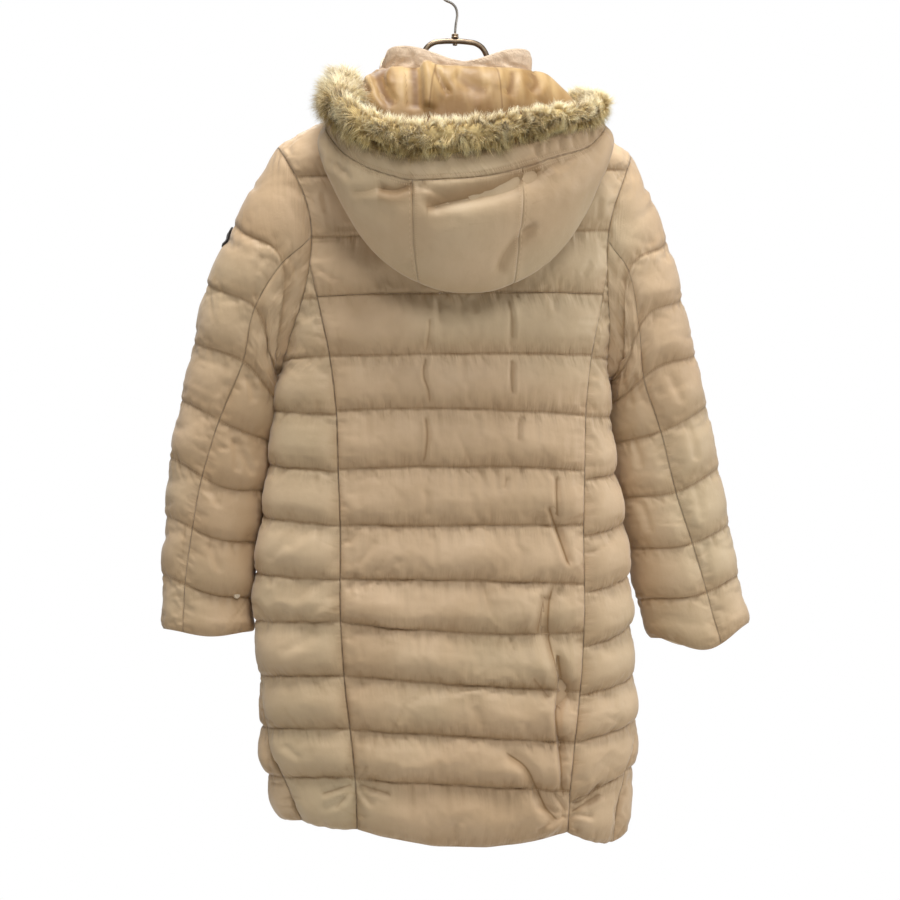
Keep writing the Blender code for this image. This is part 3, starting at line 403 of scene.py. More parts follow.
def easeToArmhole(base, way, drops, column, side, half, limit):
    # near the armhole the outer cloth leaves the seam in the direction it shares with the sleeve
    drop = np.clip(drops[:, column], shoulderDrop, underarmDrop)
    lean = half * np.arccos(np.clip((armholeMiddle - drop) / armholeReach, -1, 1))
    shared = armholeWay(side, lean)[:, None]
    away = np.linalg.norm(base - base[:, column][:, None], axis=2)
    hold = np.exp(-(away / quilt["hold"]) ** 2) * (drops[:, column] < limit)[:, None]
    return unit(way * (1 - hold[..., None]) + shared * hold[..., None])


def shoulderWays(x):
    # square to the shoulder line
    tilt = (shoulderLine(np.abs(x) + 1) - shoulderLine(np.abs(x) - 1)) / 2
    return unit(np.stack([np.sign(x) * tilt, 0 * x, np.ones_like(x)], axis=-1))


def acrossPiece(name):
    # shares across a piece, one for each column
    return np.linspace(0, 1, quilt["columns"][name])[None]


# each piece below: drops of its rows, turns round the body between its two seams, then points and ways

def makeCentre():
    across = acrossPiece("centre")
    drops, places = channelGrid(quiltLines["centre"], across)
    left = bodyPoint(princessTurn(1, drops), drops)[..., 0]
    right = bodyPoint(princessTurn(-1, drops), drops)[..., 0]
    turn = turnAt(left * (1 - across) + right * across, drops)
    return panelParts("backCentre", bodyPoint(turn, drops), bodyOutward(turn, drops), places)


def makeYoke():
    across = acrossPiece("yoke")
    tip = bodyPoint(armholeTurn(shoulderDrop), shoulderDrop)[0]
    topX = tip * (1 - 2 * across[0])
    onNeck = np.abs(topX) < neckHalf
    top = np.where(onNeck, neckDrop(topX, 1), shoulderLine(topX))
    drops, places = channelGrid(quiltLines["yoke"], across, top)
    edges = []
    for side in (1, -1):
        arm = onSide(side, armholeTurn(drops))
        edges.append(bodyPoint(np.where(drops < princessDrop, arm, princessTurn(side, drops)), drops)[..., 0])
    x = edges[0] * (1 - across) + edges[1] * across
    x = x + (topX - x[0])[None] * np.clip(1 - places[:, None], 0, 1) ** 2
    turn = turnAt(x, drops)
    base, way = bodyPoint(turn, drops), bodyOutward(turn, drops)
    way[0, ~onNeck] = shoulderWays(topX)[~onNeck]
    for column, side in ((0, 1), (-1, -1)):
        way = easeToArmhole(base, way, drops, column, side, 1, princessDrop)
    return panelParts("backYoke", base, way, places)


def makeSide(side):
    across = acrossPiece("side")
    drops, places = channelGrid(quiltLines["side" + sideWord[side]], across)
    arm = onSide(side, np.where(drops < underarmDrop, armholeTurn(drops), sideTurn(drops)))
    turn = arm * (1 - across) + princessTurn(side, drops) * across
    base, way = bodyPoint(turn, drops), bodyOutward(turn, drops)
    way = easeToArmhole(base, way, drops, 0, side, 1, underarmDrop)
    panel = panelParts("backSide" + sideWord[side], base, way, places)
    # flatter under the arm, above all beside the side seam
    panel["lift"] *= np.minimum(np.clip((drops - 440) / 60, 0.3, 1) + 0.7 * across ** 2, 1)
    return panel


def makeFront(side):
    across = acrossPiece("front")
    start = -turnAt(side * bodyShape["zipHalf"], shoulderDrop)
    edge = -armholeTurn(shoulderDrop) if side > 0 else armholeTurn(shoulderDrop) - np.pi
    topX = bodyPoint(start * (1 - across[0]) + edge * across[0], shoulderDrop)[:, 0]
    onNeck = np.abs(topX) < neckHalf
    top = np.where(onNeck, neckDrop(topX, -1), shoulderLine(topX))
    drops, places = channelGrid(quiltLines["front" + sideWord[side]], across, top)
    start = -turnAt(side * bodyShape["zipHalf"], drops)
    edge = np.where(drops < underarmDrop, -armholeTurn(drops), sideTurn(drops))
    if side < 0:
        edge = -np.pi - edge
    turn = start * (1 - across) + edge * across
    x = bodyPoint(turn, drops)[..., 0]
    x = x + (topX - x[0])[None] * np.clip(1 - places[:, None], 0, 1) ** 2
    turn = np.where(places[:, None] < 1, -turnAt(x, drops), turn)
    base, way = bodyPoint(turn, drops), bodyOutward(turn, drops)
    way[0, ~onNeck] = shoulderWays(topX)[~onNeck]
    way = easeToArmhole(base, way, drops, -1, side, -1, underarmDrop)
    return panelParts("front" + sideWord[side], base, way, places)


def makeSleeve(side):
    rows, count = sleeveShape[sideWord[side]], quilt["sleeveRows"]
    places = np.arange(len(rows) * count + 1) / count
    seams = np.concatenate([[sleeveShape["topSeam"]], [row[8] for row in rows]])
    seam = through(np.arange(len(seams)), seams, places)[:, None]
    made = []
    front = sleeveShape["frontSeam"]
    for piece, first, last in (("Upper", front, seam), ("Under", seam, 360 + front)):
        share = acrossPiece(piece)
        turn = np.radians(first * (1 - share) + last * share)
        base = sleevePoint(side, places, turn)
        way = sleeveOutward(side, places, turn)
        lean = (turn + np.pi) % (2 * np.pi) - np.pi
        hold = np.exp(-(np.linalg.norm(base - base[:1], axis=2) / quilt["hold"]) ** 2)[..., None]
        way = unit(way * (1 - hold) + armholeWay(side, lean[0])[None] * hold)
        panel = panelParts(f"sleeve{sideWord[side]}{piece}", base, way, places, "sleeveLoft", "sleeveCloth")
        # the sleeve's head meets the body's cloth, and the cuff stays full to its edge
        panel["cloth"] += (quilt["cloth"] - quilt["sleeveCloth"]) * np.clip(1 - places[:, None] / 0.4, 0, 1)
        panel["cloth"] += 3.6 * smooth((places[:, None] - 7.4) / 0.5)
        # flatter where the sleeve lies against the body
        near = np.clip(1 - np.cos(turn), 0, 1) * np.clip(1.6 - places[:, None], 0, 1)
        panel["lift"] *= (1 - 0.8 * near) * (0.5 + 0.5 * np.sin(turn) ** 2)
        made.append(panel)
    return made


panels = [makeCentre(), makeYoke()]
for side in (1, -1):
    panels += [makeSide(side), makeFront(side)] + makeSleeve(side)
print("grids:", ", ".join(f"{p['name']} {p['base'].shape[0]}x{p['base'].shape[1]}" for p in panels))


# ---- filling: the outer cloths are blown up between their held lines ----

clothFill = {
    "frames": 20,
    "quality": 4,
    "pressure": 4.0,
    "mass": 0.02,
    "grow": 0.028,          # cloth cut larger than its place
    "puckerHeight": 1.5,
    "puckerLength": 14.0,
    "most": 7.0,            # no point moves more than this, in millimetres
    "calm": 0.4, "sleeveCalm": 0.22,    # share of the small wrinkles kept away from the lines
    "reach": 11.0,          # how far from a line or seam the small wrinkles stay whole
    "damping": 2.0, "stretch": 12.0, "shear": 4.0, "bending": 0.1,
}


def evened(values, reach=4):
    # mean of each row's neighbours up to "reach" columns away, the ends repeated
    padded = np.concatenate([values[:, :1]] * reach + [values] + [values[:, -1:]] * reach, axis=1)
    return sum(padded[:, k:k + values.shape[1]] for k in range(2 * reach + 1)) / (2 * reach + 1)


def puckers(panel, height, seed):
    # noise along each quilting line, in patches, dying away from the line: wave times patch times
    # exp(-gap / reach)
    line = np.round(panel["places"])[:, None]
    side = np.sign(panel["places"][:, None] - line)
    row = np.broadcast_to(line * 370.0 + side * 110.0 + seed * 31.0, panel["along"].shape)
    spot = np.stack([panel["along"], row, 0 * row], axis=-1)
    patch = smooth(0.5 + 0.9 * softNoise(spot, 85.0, 6, 1))
    wave = softNoise(spot, clothFill["puckerLength"], 5, 2) * (0.2 + 1.1 * patch)
    return height * wave * np.exp(-panel["lineGap"] / clothFill["reach"]) * np.clip(panel["lineGap"] / 4, 0, 1)


def settleCloth(panels):
    # one Cloth run for all the pieces, which leaves each piece's outer points in panel["outer"]
    for number, panel in enumerate(panels):
        rise = panel["cloth"] + panel["lift"]
        pucker = puckers(panel, clothFill["puckerHeight"] * quilt["pucker"], number * 5.0)
        fade = np.clip(panel["edgeGap"] / 8, 0, 1)
        panel["start"] = panel["base"] + panel["way"] * (rise + 0.5 * pucker * fade)[..., None]
        panel["cut"] = panel["base"] + panel["way"] * (rise * 1.04 + 1.3 * pucker * fade)[..., None]
        panel["outer"] = panel["start"]
    points, cut, faces, held, offset = [], [], [], [], 0
    for panel in panels:
        rows, columns = panel["base"].shape[:2]
        index = offset + np.arange(rows * columns).reshape(rows, columns)
        quads = gridQuads(index)
        if (cellSides(panel["base"]) * panel["way"][:-1, :-1]).sum() < 0:    # the faces would look inwards
            quads = quads[:, ::-1]
        hold = np.zeros((rows, columns), bool)
        hold[panel["lines"]] = hold[0] = hold[-1] = True
        hold[:, 0] = hold[:, -1] = True
        points.append(panel["start"].reshape(-1, 3))
        cut.append(panel["cut"].reshape(-1, 3))
        faces.append(quads)
        held.append(index[hold])
        offset += rows * columns
    cloth = placed("filling", newMesh("filling", np.concatenate(points), np.concatenate(faces).tolist()))
    group = cloth.vertex_groups.new(name="held")
    group.add(np.concatenate(held).tolist(), 1.0, "REPLACE")
    cloth.shape_key_add(name="rest")
    key = cloth.shape_key_add(name="cut")
    key.data.foreach_set("co", (np.concatenate(cut) / 1000).ravel())
    modifier = cloth.modifiers.new("cloth", "CLOTH")
    settings = modifier.settings
    settings.rest_shape_key = key
    settings.quality = clothFill["quality"]
    settings.mass = clothFill["mass"]
    settings.air_damping = clothFill["damping"]
    settings.tension_stiffness = settings.compression_stiffness = clothFill["stretch"]
    settings.shear_stiffness = clothFill["shear"]
    settings.bending_stiffness = clothFill["bending"]
    settings.vertex_group_mass = "held"
    settings.use_pressure = True
    settings.uniform_pressure_force = clothFill["pressure"]
    settings.shrink_min = -clothFill["grow"]
    settings.effector_weights.gravity = 0
    modifier.collision_settings.use_collision = False
    modifier.collision_settings.use_self_collision = False
    modifier.point_cache.frame_start, modifier.point_cache.frame_end = 1, clothFill["frames"]
    for number in range(1, clothFill["frames"] + 1):
        scene.frame_set(number)
    shaped = cloth.evaluated_get(bpy.context.evaluated_depsgraph_get()).to_mesh()
    moved = np.empty(len(shaped.vertices) * 3)
    shaped.vertices.foreach_get("co", moved)
    moved = moved.reshape(-1, 3) * 1000
    scene.frame_set(1)
    bpy.data.objects.remove(cloth)
    offset = 0
    for panel in panels:
        count = panel["base"].shape[0] * panel["base"].shape[1]
        there = moved[offset:offset + count].reshape(panel["base"].shape)
        step = there - panel["start"]
        calm = clothFill["sleeveCalm" if "sleeve" in panel["name"] else "calm"]
        keep = np.exp(-(np.minimum(panel["lineGap"], panel["edgeGap"]) / clothFill["reach"]) ** 2)
        keep = calm + (1 - calm) * keep
        step = evened(step) * (1 - keep[..., None]) + step * keep[..., None]
        far = np.linalg.norm(step, axis=-1, keepdims=True)
        panel["outer"] = panel["start"] + step * np.minimum(1, clothFill["most"] / np.maximum(far, 1e-6))
        offset += count


began = time.time()
settleCloth(panels)
print("cloth settled in", round(time.time() - began, 1), "s")


# ---- folds: soft troughs with a ridge on one side, placed as the coat is seen from behind ----

eye = {
    "turn": 9.0, "far": 3060.0, "drop": 578.0,
    "sheet": 60.0, "view": 1062.0,      # where the flat sheet stands behind the hook, and how much of it is seen
    "film": 36.0, "aside": -5 / 900,
}
eyeTurn = math.radians(eye["turn"])
toEye = np.array([math.sin(eyeTurn), math.cos(eyeTurn), 0.0])


def fromBehind(points):
    # across (to the wearer's right) and down, in millimetres, on the flat sheet
    across = points[..., 1] * toEye[0] - points[..., 0] * toEye[1]
    scale = (eye["far"] - eye["sheet"]) / (eye["far"] - points @ toEye)
    return across * scale, eye["drop"] + (-points[..., 2] - eye["drop"]) * scale


folds = {
    # depth, half width, side of the ridge, then the points of its line
    "backCentre": [
        (2.3, 2.1, 1, -29.5, 421.1, -31, 444.7, -34.2, 462.4),
        (2.5, 2.1, 1, -34.2, 467.1, -36.9, 489.5, -31, 507.2, -29.5, 523.7),
        (2.6, 2.1, 1, -34.6, 537.9, -32.4, 560.3, -34.8, 583.9, -38.4, 594.5),
        (1.4, 4.5, 1, -34.2, 625.2, -32.4, 658.2),
        (2.4, 2.1, -1, 63.4, 399.8, 67.8, 421.1, 67.8, 448.2),
        (2.4, 2.1, -1, 67.3, 469.4, 67.3, 495.4, 68.4, 513.1),
        (2, 3, -1, 76.7, 537.9, 75.2, 568.6),
        (2, 3, 1, 61.9, 609.9, 59, 624),
        (3, 3.4, 1, 120.9, 607.5, 121.5, 642.9, 122.4, 661.8),
        (3.8, 4, 1, 110.6, 641.7, 118, 663, 126.8, 687.7, 136.9, 717.2),
        (1.6, 4, 1, 113.3, 717.2, 113.3, 736.1),
        (4.6, 9.5, 1, 115.6, 735, 111.5, 790.4, 118.4, 825.8, 127, 861.2, 124.3, 905),
        (5.6, 4.6, 1, 122, 812, 129, 846, 126.4, 868, 122, 896.6, 125, 926.1, 127.8, 955.6, 128.3, 992),
        (4, 8.5, 1, 58, 934, 84.5, 953, 96.8, 976.3, 108.2, 1000.7, 124.5, 1018.7),
        (3.2, 9, 1, 108, 748, 97, 796),
        (2.6, 7, 1, 92, 846, 112, 872),
        (1.8, 4.5, 1, 82.6, 899, 89.7, 917.8),
        (1.4, 5.5, 1, 24.8, 878.9, 31.9, 906),
        (1.6, 4, 1, -20.1, 398.6, -17.7, 430.5),
        (1.4, 4, 1, 17.7, 397.5, 24.8, 417.5),
        (1.4, 4, 1, 115.6, 392.7, 118, 415.2),
        (1.8, 4.5, -1, -109.7, 667.7, -127.4, 691.3),
        (1.6, 4.5, -1, -92, 684.2, -116.8, 716.1),
        (1.4, 4.5, -1, -64.9, 705.4, -86.1, 727.9),
        (1.6, 4.5, -1, -112.1, 716.1, -127.4, 745.6),
        (1.4, 4.5, -1, -90.9, 714.9, -118, 746.7),
        (1.6, 3.5, -1, -114.5, 987.5, -109.7, 1014.6),
        (1.4, 3.5, -1, -112.1, 972.1, -74.3, 962.7),
        (1.6, 3.5, -1, 0, 1019.3, 0, 1038.2),
    ],
    "backSideLeft": [
        (1.8, 5, -1, -133.3, 696, -165.2, 731.4, -194.7, 762.1),
        (1.6, 5, -1, -161.7, 665.3, -200.6, 696),
        (1.4, 5, -1, -182.9, 667.7, -220.7, 710.2),
        (1.6, 5, -1, -138.1, 745.6, -177, 775.1),
        (1.8, 4.5, 1, -239.5, 756.2, -220.7, 779.8),
        (1.4, 6, -1, -159.3, 792.8, -208.9, 819.9),
        (1.4, 5, -1, -131, 987.5, -156.9, 1005.2),
        (1.6, 4, 1, -203, 926.1, -182.9, 943.8),
    ],
    "backSideRight": [
        (1.4, 5, -1, 159.3, 816.4, 178.2, 802.2),
        (2.6, 3.6, -1, 139.2, 998.1, 156.9, 987.5, 172.3, 970.9),
        (1.6, 4.5, -1, 133.3, 1014.6, 159.3, 1000.4),
    ],
    "sleeveLeftUpper": [
        (1.4, 4.5, 1, -226.6, 346.7, -234.8, 368, -234.8, 389.2, -237.2, 402.2),
        (1.7, 4.7, 1, -257.2, 460, -258.4, 476.5, -257.2, 506, -262, 530.8, -266.7, 546.1),
        (1.3, 4.5, -1, -270.2, 474.2, -274.9, 495.4, -279.7, 516.6),
        (1.4, 4.5, -1, -250.2, 491.9, -252.5, 515.5, -254.9, 539.1),
    ],
    "sleeveLeftUnder": [
        (1.8, 4.5, 1, -198.2, 346.7, -192.3, 358.5, -192.3, 372.7),
        (1.3, 4.5, 1, -186.4, 356.2, -187.6, 377.4, -197.1, 396.3),
        (1.4, 4.5, 1, -254.9, 482.4, -241.9, 500.1, -232.5, 511.9),
        (1.7, 5.2, -1, -240.7, 488.3, -239.5, 509.6, -234.8, 521.4),
        (1.5, 4.5, 1, -260.8, 562.7, -258.4, 580.4, -257.2, 605.1),
        (1.7, 4.7, -1, -260.8, 562.7, -250.2, 583.9, -237.2, 608.7),
        (1.4, 4.5, 1, -287.9, 624, -283.2, 634.6, -278.5, 645.3),
        (1.7, 4.5, 1, -290.3, 687.7, -283.2, 703.1, -277.3, 723.1),
    ],
    "sleeveRightUpper": [
        (1.3, 5.2, 1, 251.3, 486, 263.1, 509.6, 270.2, 523.7),
        (1.4, 5.2, 1, 277.3, 549.7, 282, 570.9, 284.4, 592.2),
        (1.4, 5.2, 1, 282, 618.1, 289.1, 641.7, 291.5, 663),
        (1.3, 5.2, 1, 293.8, 686.6, 298.5, 707.8, 298.5, 726.7),
    ],
    "sleeveRightUnder": [
        (1.4, 4.5, 1, 199.4, 356.2, 203, 379.8, 208.9, 401),
        (1.5, 4.7, 1, 185.3, 412.8, 192.3, 436.4, 204.1, 462.4),
        (1.3, 4.5, -1, 197.1, 408.1, 206.5, 434, 211.2, 457.6),
        (1.5, 4.5, 1, 192.3, 486, 201.8, 509.6, 211.2, 528.4),
        (1.3, 4.5, -1, 208.9, 486, 215.9, 504.8, 225.4, 523.7),
        (1.4, 4.5, 1, 206.5, 561.5, 215.9, 580.4, 218.3, 601.6),
        (1.4, 4.5, 1, 215.9, 637, 225.4, 655.9, 230.1, 677.1),
    ],
    "backYoke": [
        (1.6, 3.5, 1, -161.7, 363.2, -147.5, 372.7, -131, 377.4),
        (1.4, 4, 1, -156.9, 273.6, -152.2, 299.5),
        (1.6, 3.5, -1, 161.7, 356.2, 149.9, 372.7),
        (1.4, 4, -1, 171.1, 278.3, 168.7, 309),
    ],
}


# darkFrom and darkRate: the depth from which a fold gets painted shade, and how fast that shade darkens with more
# depth
foldStrength = {"depth": 1.5, "width": 0.95, "darkFrom": 2.6, "darkRate": 0.45, "pinchWidth": 3.6}


def pinch(spot, spokes):
    # folds that run out of one spot: degrees from straight down towards the wearer's right, length, depth
    for turn, length, depth in spokes:
        c, s = math.cos(math.radians(turn)), math.sin(math.radians(turn))
        line = (spot[0] + 2 * s, spot[1] + 2 * c, spot[0] + length * s, spot[1] + length * c)
        yield depth, foldStrength["pinchWidth"], 1 if s > 0 else -1, *line


hemPinches = {
    "backCentre": [
        ((-116.5, 972), [(35, 34, 1.8), (72, 44, 2.4), (112, 36, 1.6), (150, 26, 2)]),
        ((134, 1008), [(-28, 30, 1.6), (-62, 44, 2.2), (-104, 40, 1.8), (-146, 34, 2.2)]),
    ],
    "backSideLeft": [((-117.5, 972), [(-38, 40, 2), (-72, 44, 2.4), (-110, 32, 1.8), (-150, 26, 2)])],
    "backSideRight": [((135, 1008), [(30, 28, 1.8), (84, 30, 2), (122, 46, 2.8), (154, 30, 2)])],
}
for name, pinches in hemPinches.items():
    for spot, spokes in pinches:
        folds[name] += pinch(spot, spokes)


def foldLift(points, way, lines, reach=11.0):
    # each fold: -depth exp(-(d/w)^2) + 0.4 depth exp(-((s - 1.9 w)/(1.3 w))^2), s being d with its side, faded
    # to nothing past the ends of its line. Also gives the signed distance to the nearest fold, and how dark that
    # fold's painted shade is there, which grows with its depth
    across, down = fromBehind(points)
    facing = np.clip(4 * (way @ toEye), 0, 1)
    spots = np.stack([across, down], axis=-1)
    lift, side, deep = np.zeros(across.shape), np.full(across.shape, reach + 1), np.zeros(across.shape)
    for depth, width, ridge, *line in lines:
        line = np.reshape(line, (-1, 2)).astype(float)
        depth, width = depth * foldStrength["depth"], width * foldStrength["width"]
        keys = np.arange(len(line))
        line = through(keys, line, np.linspace(0, len(line) - 1, 4 * len(line) - 3)) if len(line) > 2 else line
        starts, steps = line[:-1], np.diff(line, axis=0)
        lengths = np.linalg.norm(steps, axis=1)
        box = (across > line[:, 0].min() - 6 * width) & (across < line[:, 0].max() + 6 * width)
        box &= (down > line[:, 1].min() - 6 * width) & (down < line[:, 1].max() + 6 * width) & (facing > 0)
        near = spots[box]
        if not len(near):
            continue
        away = near[:, None] - starts[None]
        t = np.clip((away * steps).sum(-1) / lengths ** 2, 0, 1)
        rest = away - t[..., None] * steps
        gaps = np.linalg.norm(rest, axis=-1)
        best = gaps.argmin(axis=1)
        row = np.arange(len(near))
        gap = gaps[row, best]
        turned = steps[best][:, 0] * away[row, best][:, 1] - steps[best][:, 1] * away[row, best][:, 0]
        signed = gap * np.sign(turned) * ridge
        along = (np.concatenate([[0], np.cumsum(lengths)])[best] + t[row, best] * lengths[best]) / lengths.sum()
        fade = smooth(along / 0.12) * smooth((1 - along) / 0.12) * facing[box]
        trough = -depth * np.exp(-(gap / width) ** 2)
        crest = 0.4 * depth * np.exp(-((signed - 1.9 * width) / (1.3 * width)) ** 2)
        lift[box] += (trough + crest) * fade
        strong = foldStrength["darkRate"] * max(0, depth - foldStrength["darkFrom"]) * fade
        strong = strong * np.clip(1 - gap / reach, 0, 1)
        wins = strong > deep[box]
        side[box] = np.where(wins, np.clip(signed, -reach - 1, reach + 1), side[box])
        deep[box] = np.maximum(strong, deep[box])
    return lift, side, np.clip(deep, 0, 1)


creaseShape = {
    # short troughs that leave a stitched line, in millimetres
    "apart": (5, 19), "length": (7, 21), "lean": 0.42, "depth": (0.4, 1.6), "width": (1.6, 2.5), "long": 0.16,
}


def lineCreases(run, gap, seed, strength):
    # along one line: -depth exp(-(d/w)^2) fading along each crease's own length, more of them in some patches
    dice = np.random.default_rng(seed)
    shape = creaseShape
    lift = np.zeros(run.shape)
    spot = dice.uniform(4, 20)
    while spot < run.max() - 3:
        length = dice.uniform(*shape["length"]) * (2.0 if dice.random() < shape["long"] else 1)
        depth, width = dice.uniform(*shape["depth"]) ** 1.3 * strength, dice.uniform(*shape["width"])
        aside = run - (spot + dice.normal() * shape["lean"] * gap)
        fade = np.clip(1 - gap / length, 0, 1) ** 0.8 * np.clip(0.3 + gap / 3, 0, 1)
        crest = 0.4 * np.exp(-((aside - 1.9 * width) / (1.2 * width)) ** 2)
        lift += depth * fade * (crest - np.exp(-(aside / width) ** 2))
        spot += dice.uniform(*shape["apart"]) * (1 + 1.4 * max(0, math.sin(spot / 31 + seed)))
    return lift


def panelCreases(along, down, lines, seed, strength=1.0):
    # both sides of every quilting line, then both side seams
    lift = np.zeros(along.shape)
    for k, (first, last) in enumerate(zip(lines[:-1], lines[1:])):
        rows = slice(first, last + 1)
        lift[rows] += lineCreases(along[rows], down[rows] - down[first], seed + 2 * k, strength)
        lift[rows] += lineCreases(along[rows], down[last] - down[rows], seed + 2 * k + 1, strength * 0.8)
    lift += lineCreases(down, along, seed + 91, strength * 0.9)
    return lift + lineCreases(down, along[:, -1:] - along, seed + 92, strength * 0.9)


# ---- closed walls from the grids ----

def finer(values, places):
    # twice the points each way: cubic inside every channel and across the whole width
    lines = np.flatnonzero(np.abs(places - np.round(places)) < 1e-6)
    blocks, spots = [], []
    for first, last in zip(lines[:-1], lines[1:]):
        keys = np.arange(first, last + 1)
        at = np.linspace(first, last, 2 * (last - first) + 1)
        blocks.append(through(keys, values[first:last + 1], at)[:-1])
        spots.append(np.interp(at, keys, places[first:last + 1])[:-1])
    values = np.concatenate(blocks + [values[-1:]])
    columns = np.arange(values.shape[1])
    at = np.linspace(0, len(columns) - 1, 2 * len(columns) - 1)
    return through(columns, values.swapaxes(0, 1), at).swapaxes(0, 1), np.concatenate(spots + [places[-1:]])


noSeam = 40.0   # the gap written where no seam or line is near


def wallMesh(name, outer, inner, innerRows, way, lengths, floats, sharpRows=()):
    # an outer grid, a plainer inner one of only some of its rows, and rims between their edges
    rows, columns = outer.shape[:2]
    few = len(innerRows)
    front = np.arange(rows * columns).reshape(rows, columns)
    back = rows * columns + np.arange(few * columns).reshape(few, columns)
    quads = [gridQuads(front), gridQuads(back)[:, [0, 3, 2, 1]]]
    quads.append(np.stack([front[0, :-1], front[0, 1:], back[0, 1:], back[0, :-1]], -1))
    quads.append(np.stack([front[-1, :-1], back[-1, :-1], back[-1, 1:], front[-1, 1:]], -1))
    smoothCount = len(quads[0]) + len(quads[1])
    faces = np.concatenate(quads).tolist()
    for k, (first, last) in enumerate(zip(innerRows[:-1], innerRows[1:])):
        faces.append([int(back[k, 0]), int(back[k + 1, 0])] + front[first:last + 1, 0][::-1].tolist())
        faces.append([int(back[k + 1, -1]), int(back[k, -1])] + front[first:last + 1, -1].tolist())
    if (cellSides(outer) * way[:-1, :-1]).sum() < 0:
        faces = [face[::-1] for face in faces]
    points = np.concatenate([outer.reshape(-1, 3), inner[innerRows].reshape(-1, 3)])
    mesh = newMesh(name, points, faces, np.arange(len(faces)) < smoothCount)
    corner = np.empty(len(mesh.loops), int)
    mesh.loops.foreach_get("vertex_index", corner)
    uv = np.stack(lengths, axis=-1)
    flat = np.concatenate([uv.reshape(-1, 2), uv[innerRows].reshape(-1, 2)])
    mesh.uv_layers.new(name="cloth").data.foreach_set("uv", (flat[corner] / 1000).ravel())
    for label, values in floats.items():
        layer = mesh.attributes.new(label, "FLOAT", "POINT")
        rest = noSeam if label.endswith("Gap") else 0.0
        layer.data.foreach_set("value", np.concatenate([values.ravel(), np.full(few * columns, rest)]))
    if len(sharpRows):
        ends = np.empty(2 * len(mesh.edges), int)
        mesh.edges.foreach_get("vertices", ends)
        row = ends.reshape(-1, 2) // columns
        crease = (row[:, 0] == row[:, 1]) & np.isin(row[:, 0], sharpRows)
        mesh.attributes.new("sharp_edge", "BOOLEAN", "EDGE").data.foreach_set("value", crease)
    return placed(name, mesh)


def closePanel(panel, number):
    # the settled cloth, its folds and creases, and a plain inner side
    stack = np.concatenate([
        panel["outer"], panel["base"], panel["way"], panel["along"][..., None], panel["down"][..., None],
        panel["lineGap"][..., None], panel["edgeGap"][..., None],
    ], axis=-1)
    stack, places = finer(stack, panel["places"])
    outer, base, way = stack[..., 0:3], stack[..., 3:6], unit(stack[..., 6:9])
    along, down, lineGap, edgeGap = (stack[..., k] for k in range(9, 13))
    lines = np.flatnonzero(np.abs(places - np.round(places)) < 1e-6)
    lift, side, deep = foldLift(outer, way, folds.get(panel["name"], []))
    crease = panelCreases(along, down, lines, 100 * number, 1.25 if "front" in panel["name"] else 1.0)
    lift = (lift + crease) * np.clip(edgeGap / 5, 0.15, 1) * np.clip(lineGap / 3, 0.35, 1)
    outer = outer + way * lift[..., None]
    for grid in (outer, base):
        drawIn(grid, quilt["gap"] / 2)
    panel["shown"], panel["shownPlaces"], panel["shownWay"] = outer, places, way
    middles = (lines[:-1] + lines[1:]) // 2
    innerRows = np.sort(np.concatenate([lines, middles]))
    hang = np.broadcast_to((places - np.floor(places - 1e-6))[:, None], along.shape)
    # foldSide, foldDeep, crease and hang steer the painted shade: in folds, in creases and on the lower part of each
    # channel
    floats = {
        "lineGap": np.abs(lineGap), "edgeGap": np.abs(edgeGap), "hang": hang, "foldSide": side, "foldDeep": deep,
        "crease": np.clip(-crease / 1.5, 0, 1),
    }
    return wallMesh(panel["name"], outer, base, innerRows, way, (along, down), floats, lines[1:-1])


panelNodes = {
    "backCentre": "back_centre", "backYoke": "back_yoke",
    "backSideLeft": "back_side_left", "backSideRight": "back_side_right",
    "frontLeft": "front_left", "frontRight": "front_right",
    "sleeveLeftUpper": "sleeve_left_upper", "sleeveLeftUnder": "sleeve_left_under",
    "sleeveRightUpper": "sleeve_right_upper", "sleeveRightUnder": "sleeve_right_under",
}
quilted = []
for number, panel in enumerate(panels):
    piece = closePanel(panel, number)
    seat(piece, panelNodes[panel["name"]])
    quilted.append(piece)
print("quilted pieces:", sum(len(p.data.polygons) for p in quilted), "faces")


# ---- small pieces that sit on the cloth ----

badgeShape = {
    "places": (1.03, 1.33), "turns": (-27, 5),      # along the sleeve and round it
    "gap": 1.2, "wall": 2.0, "corner": 7.0, "drawn": 0.12, "rows": 26,
}


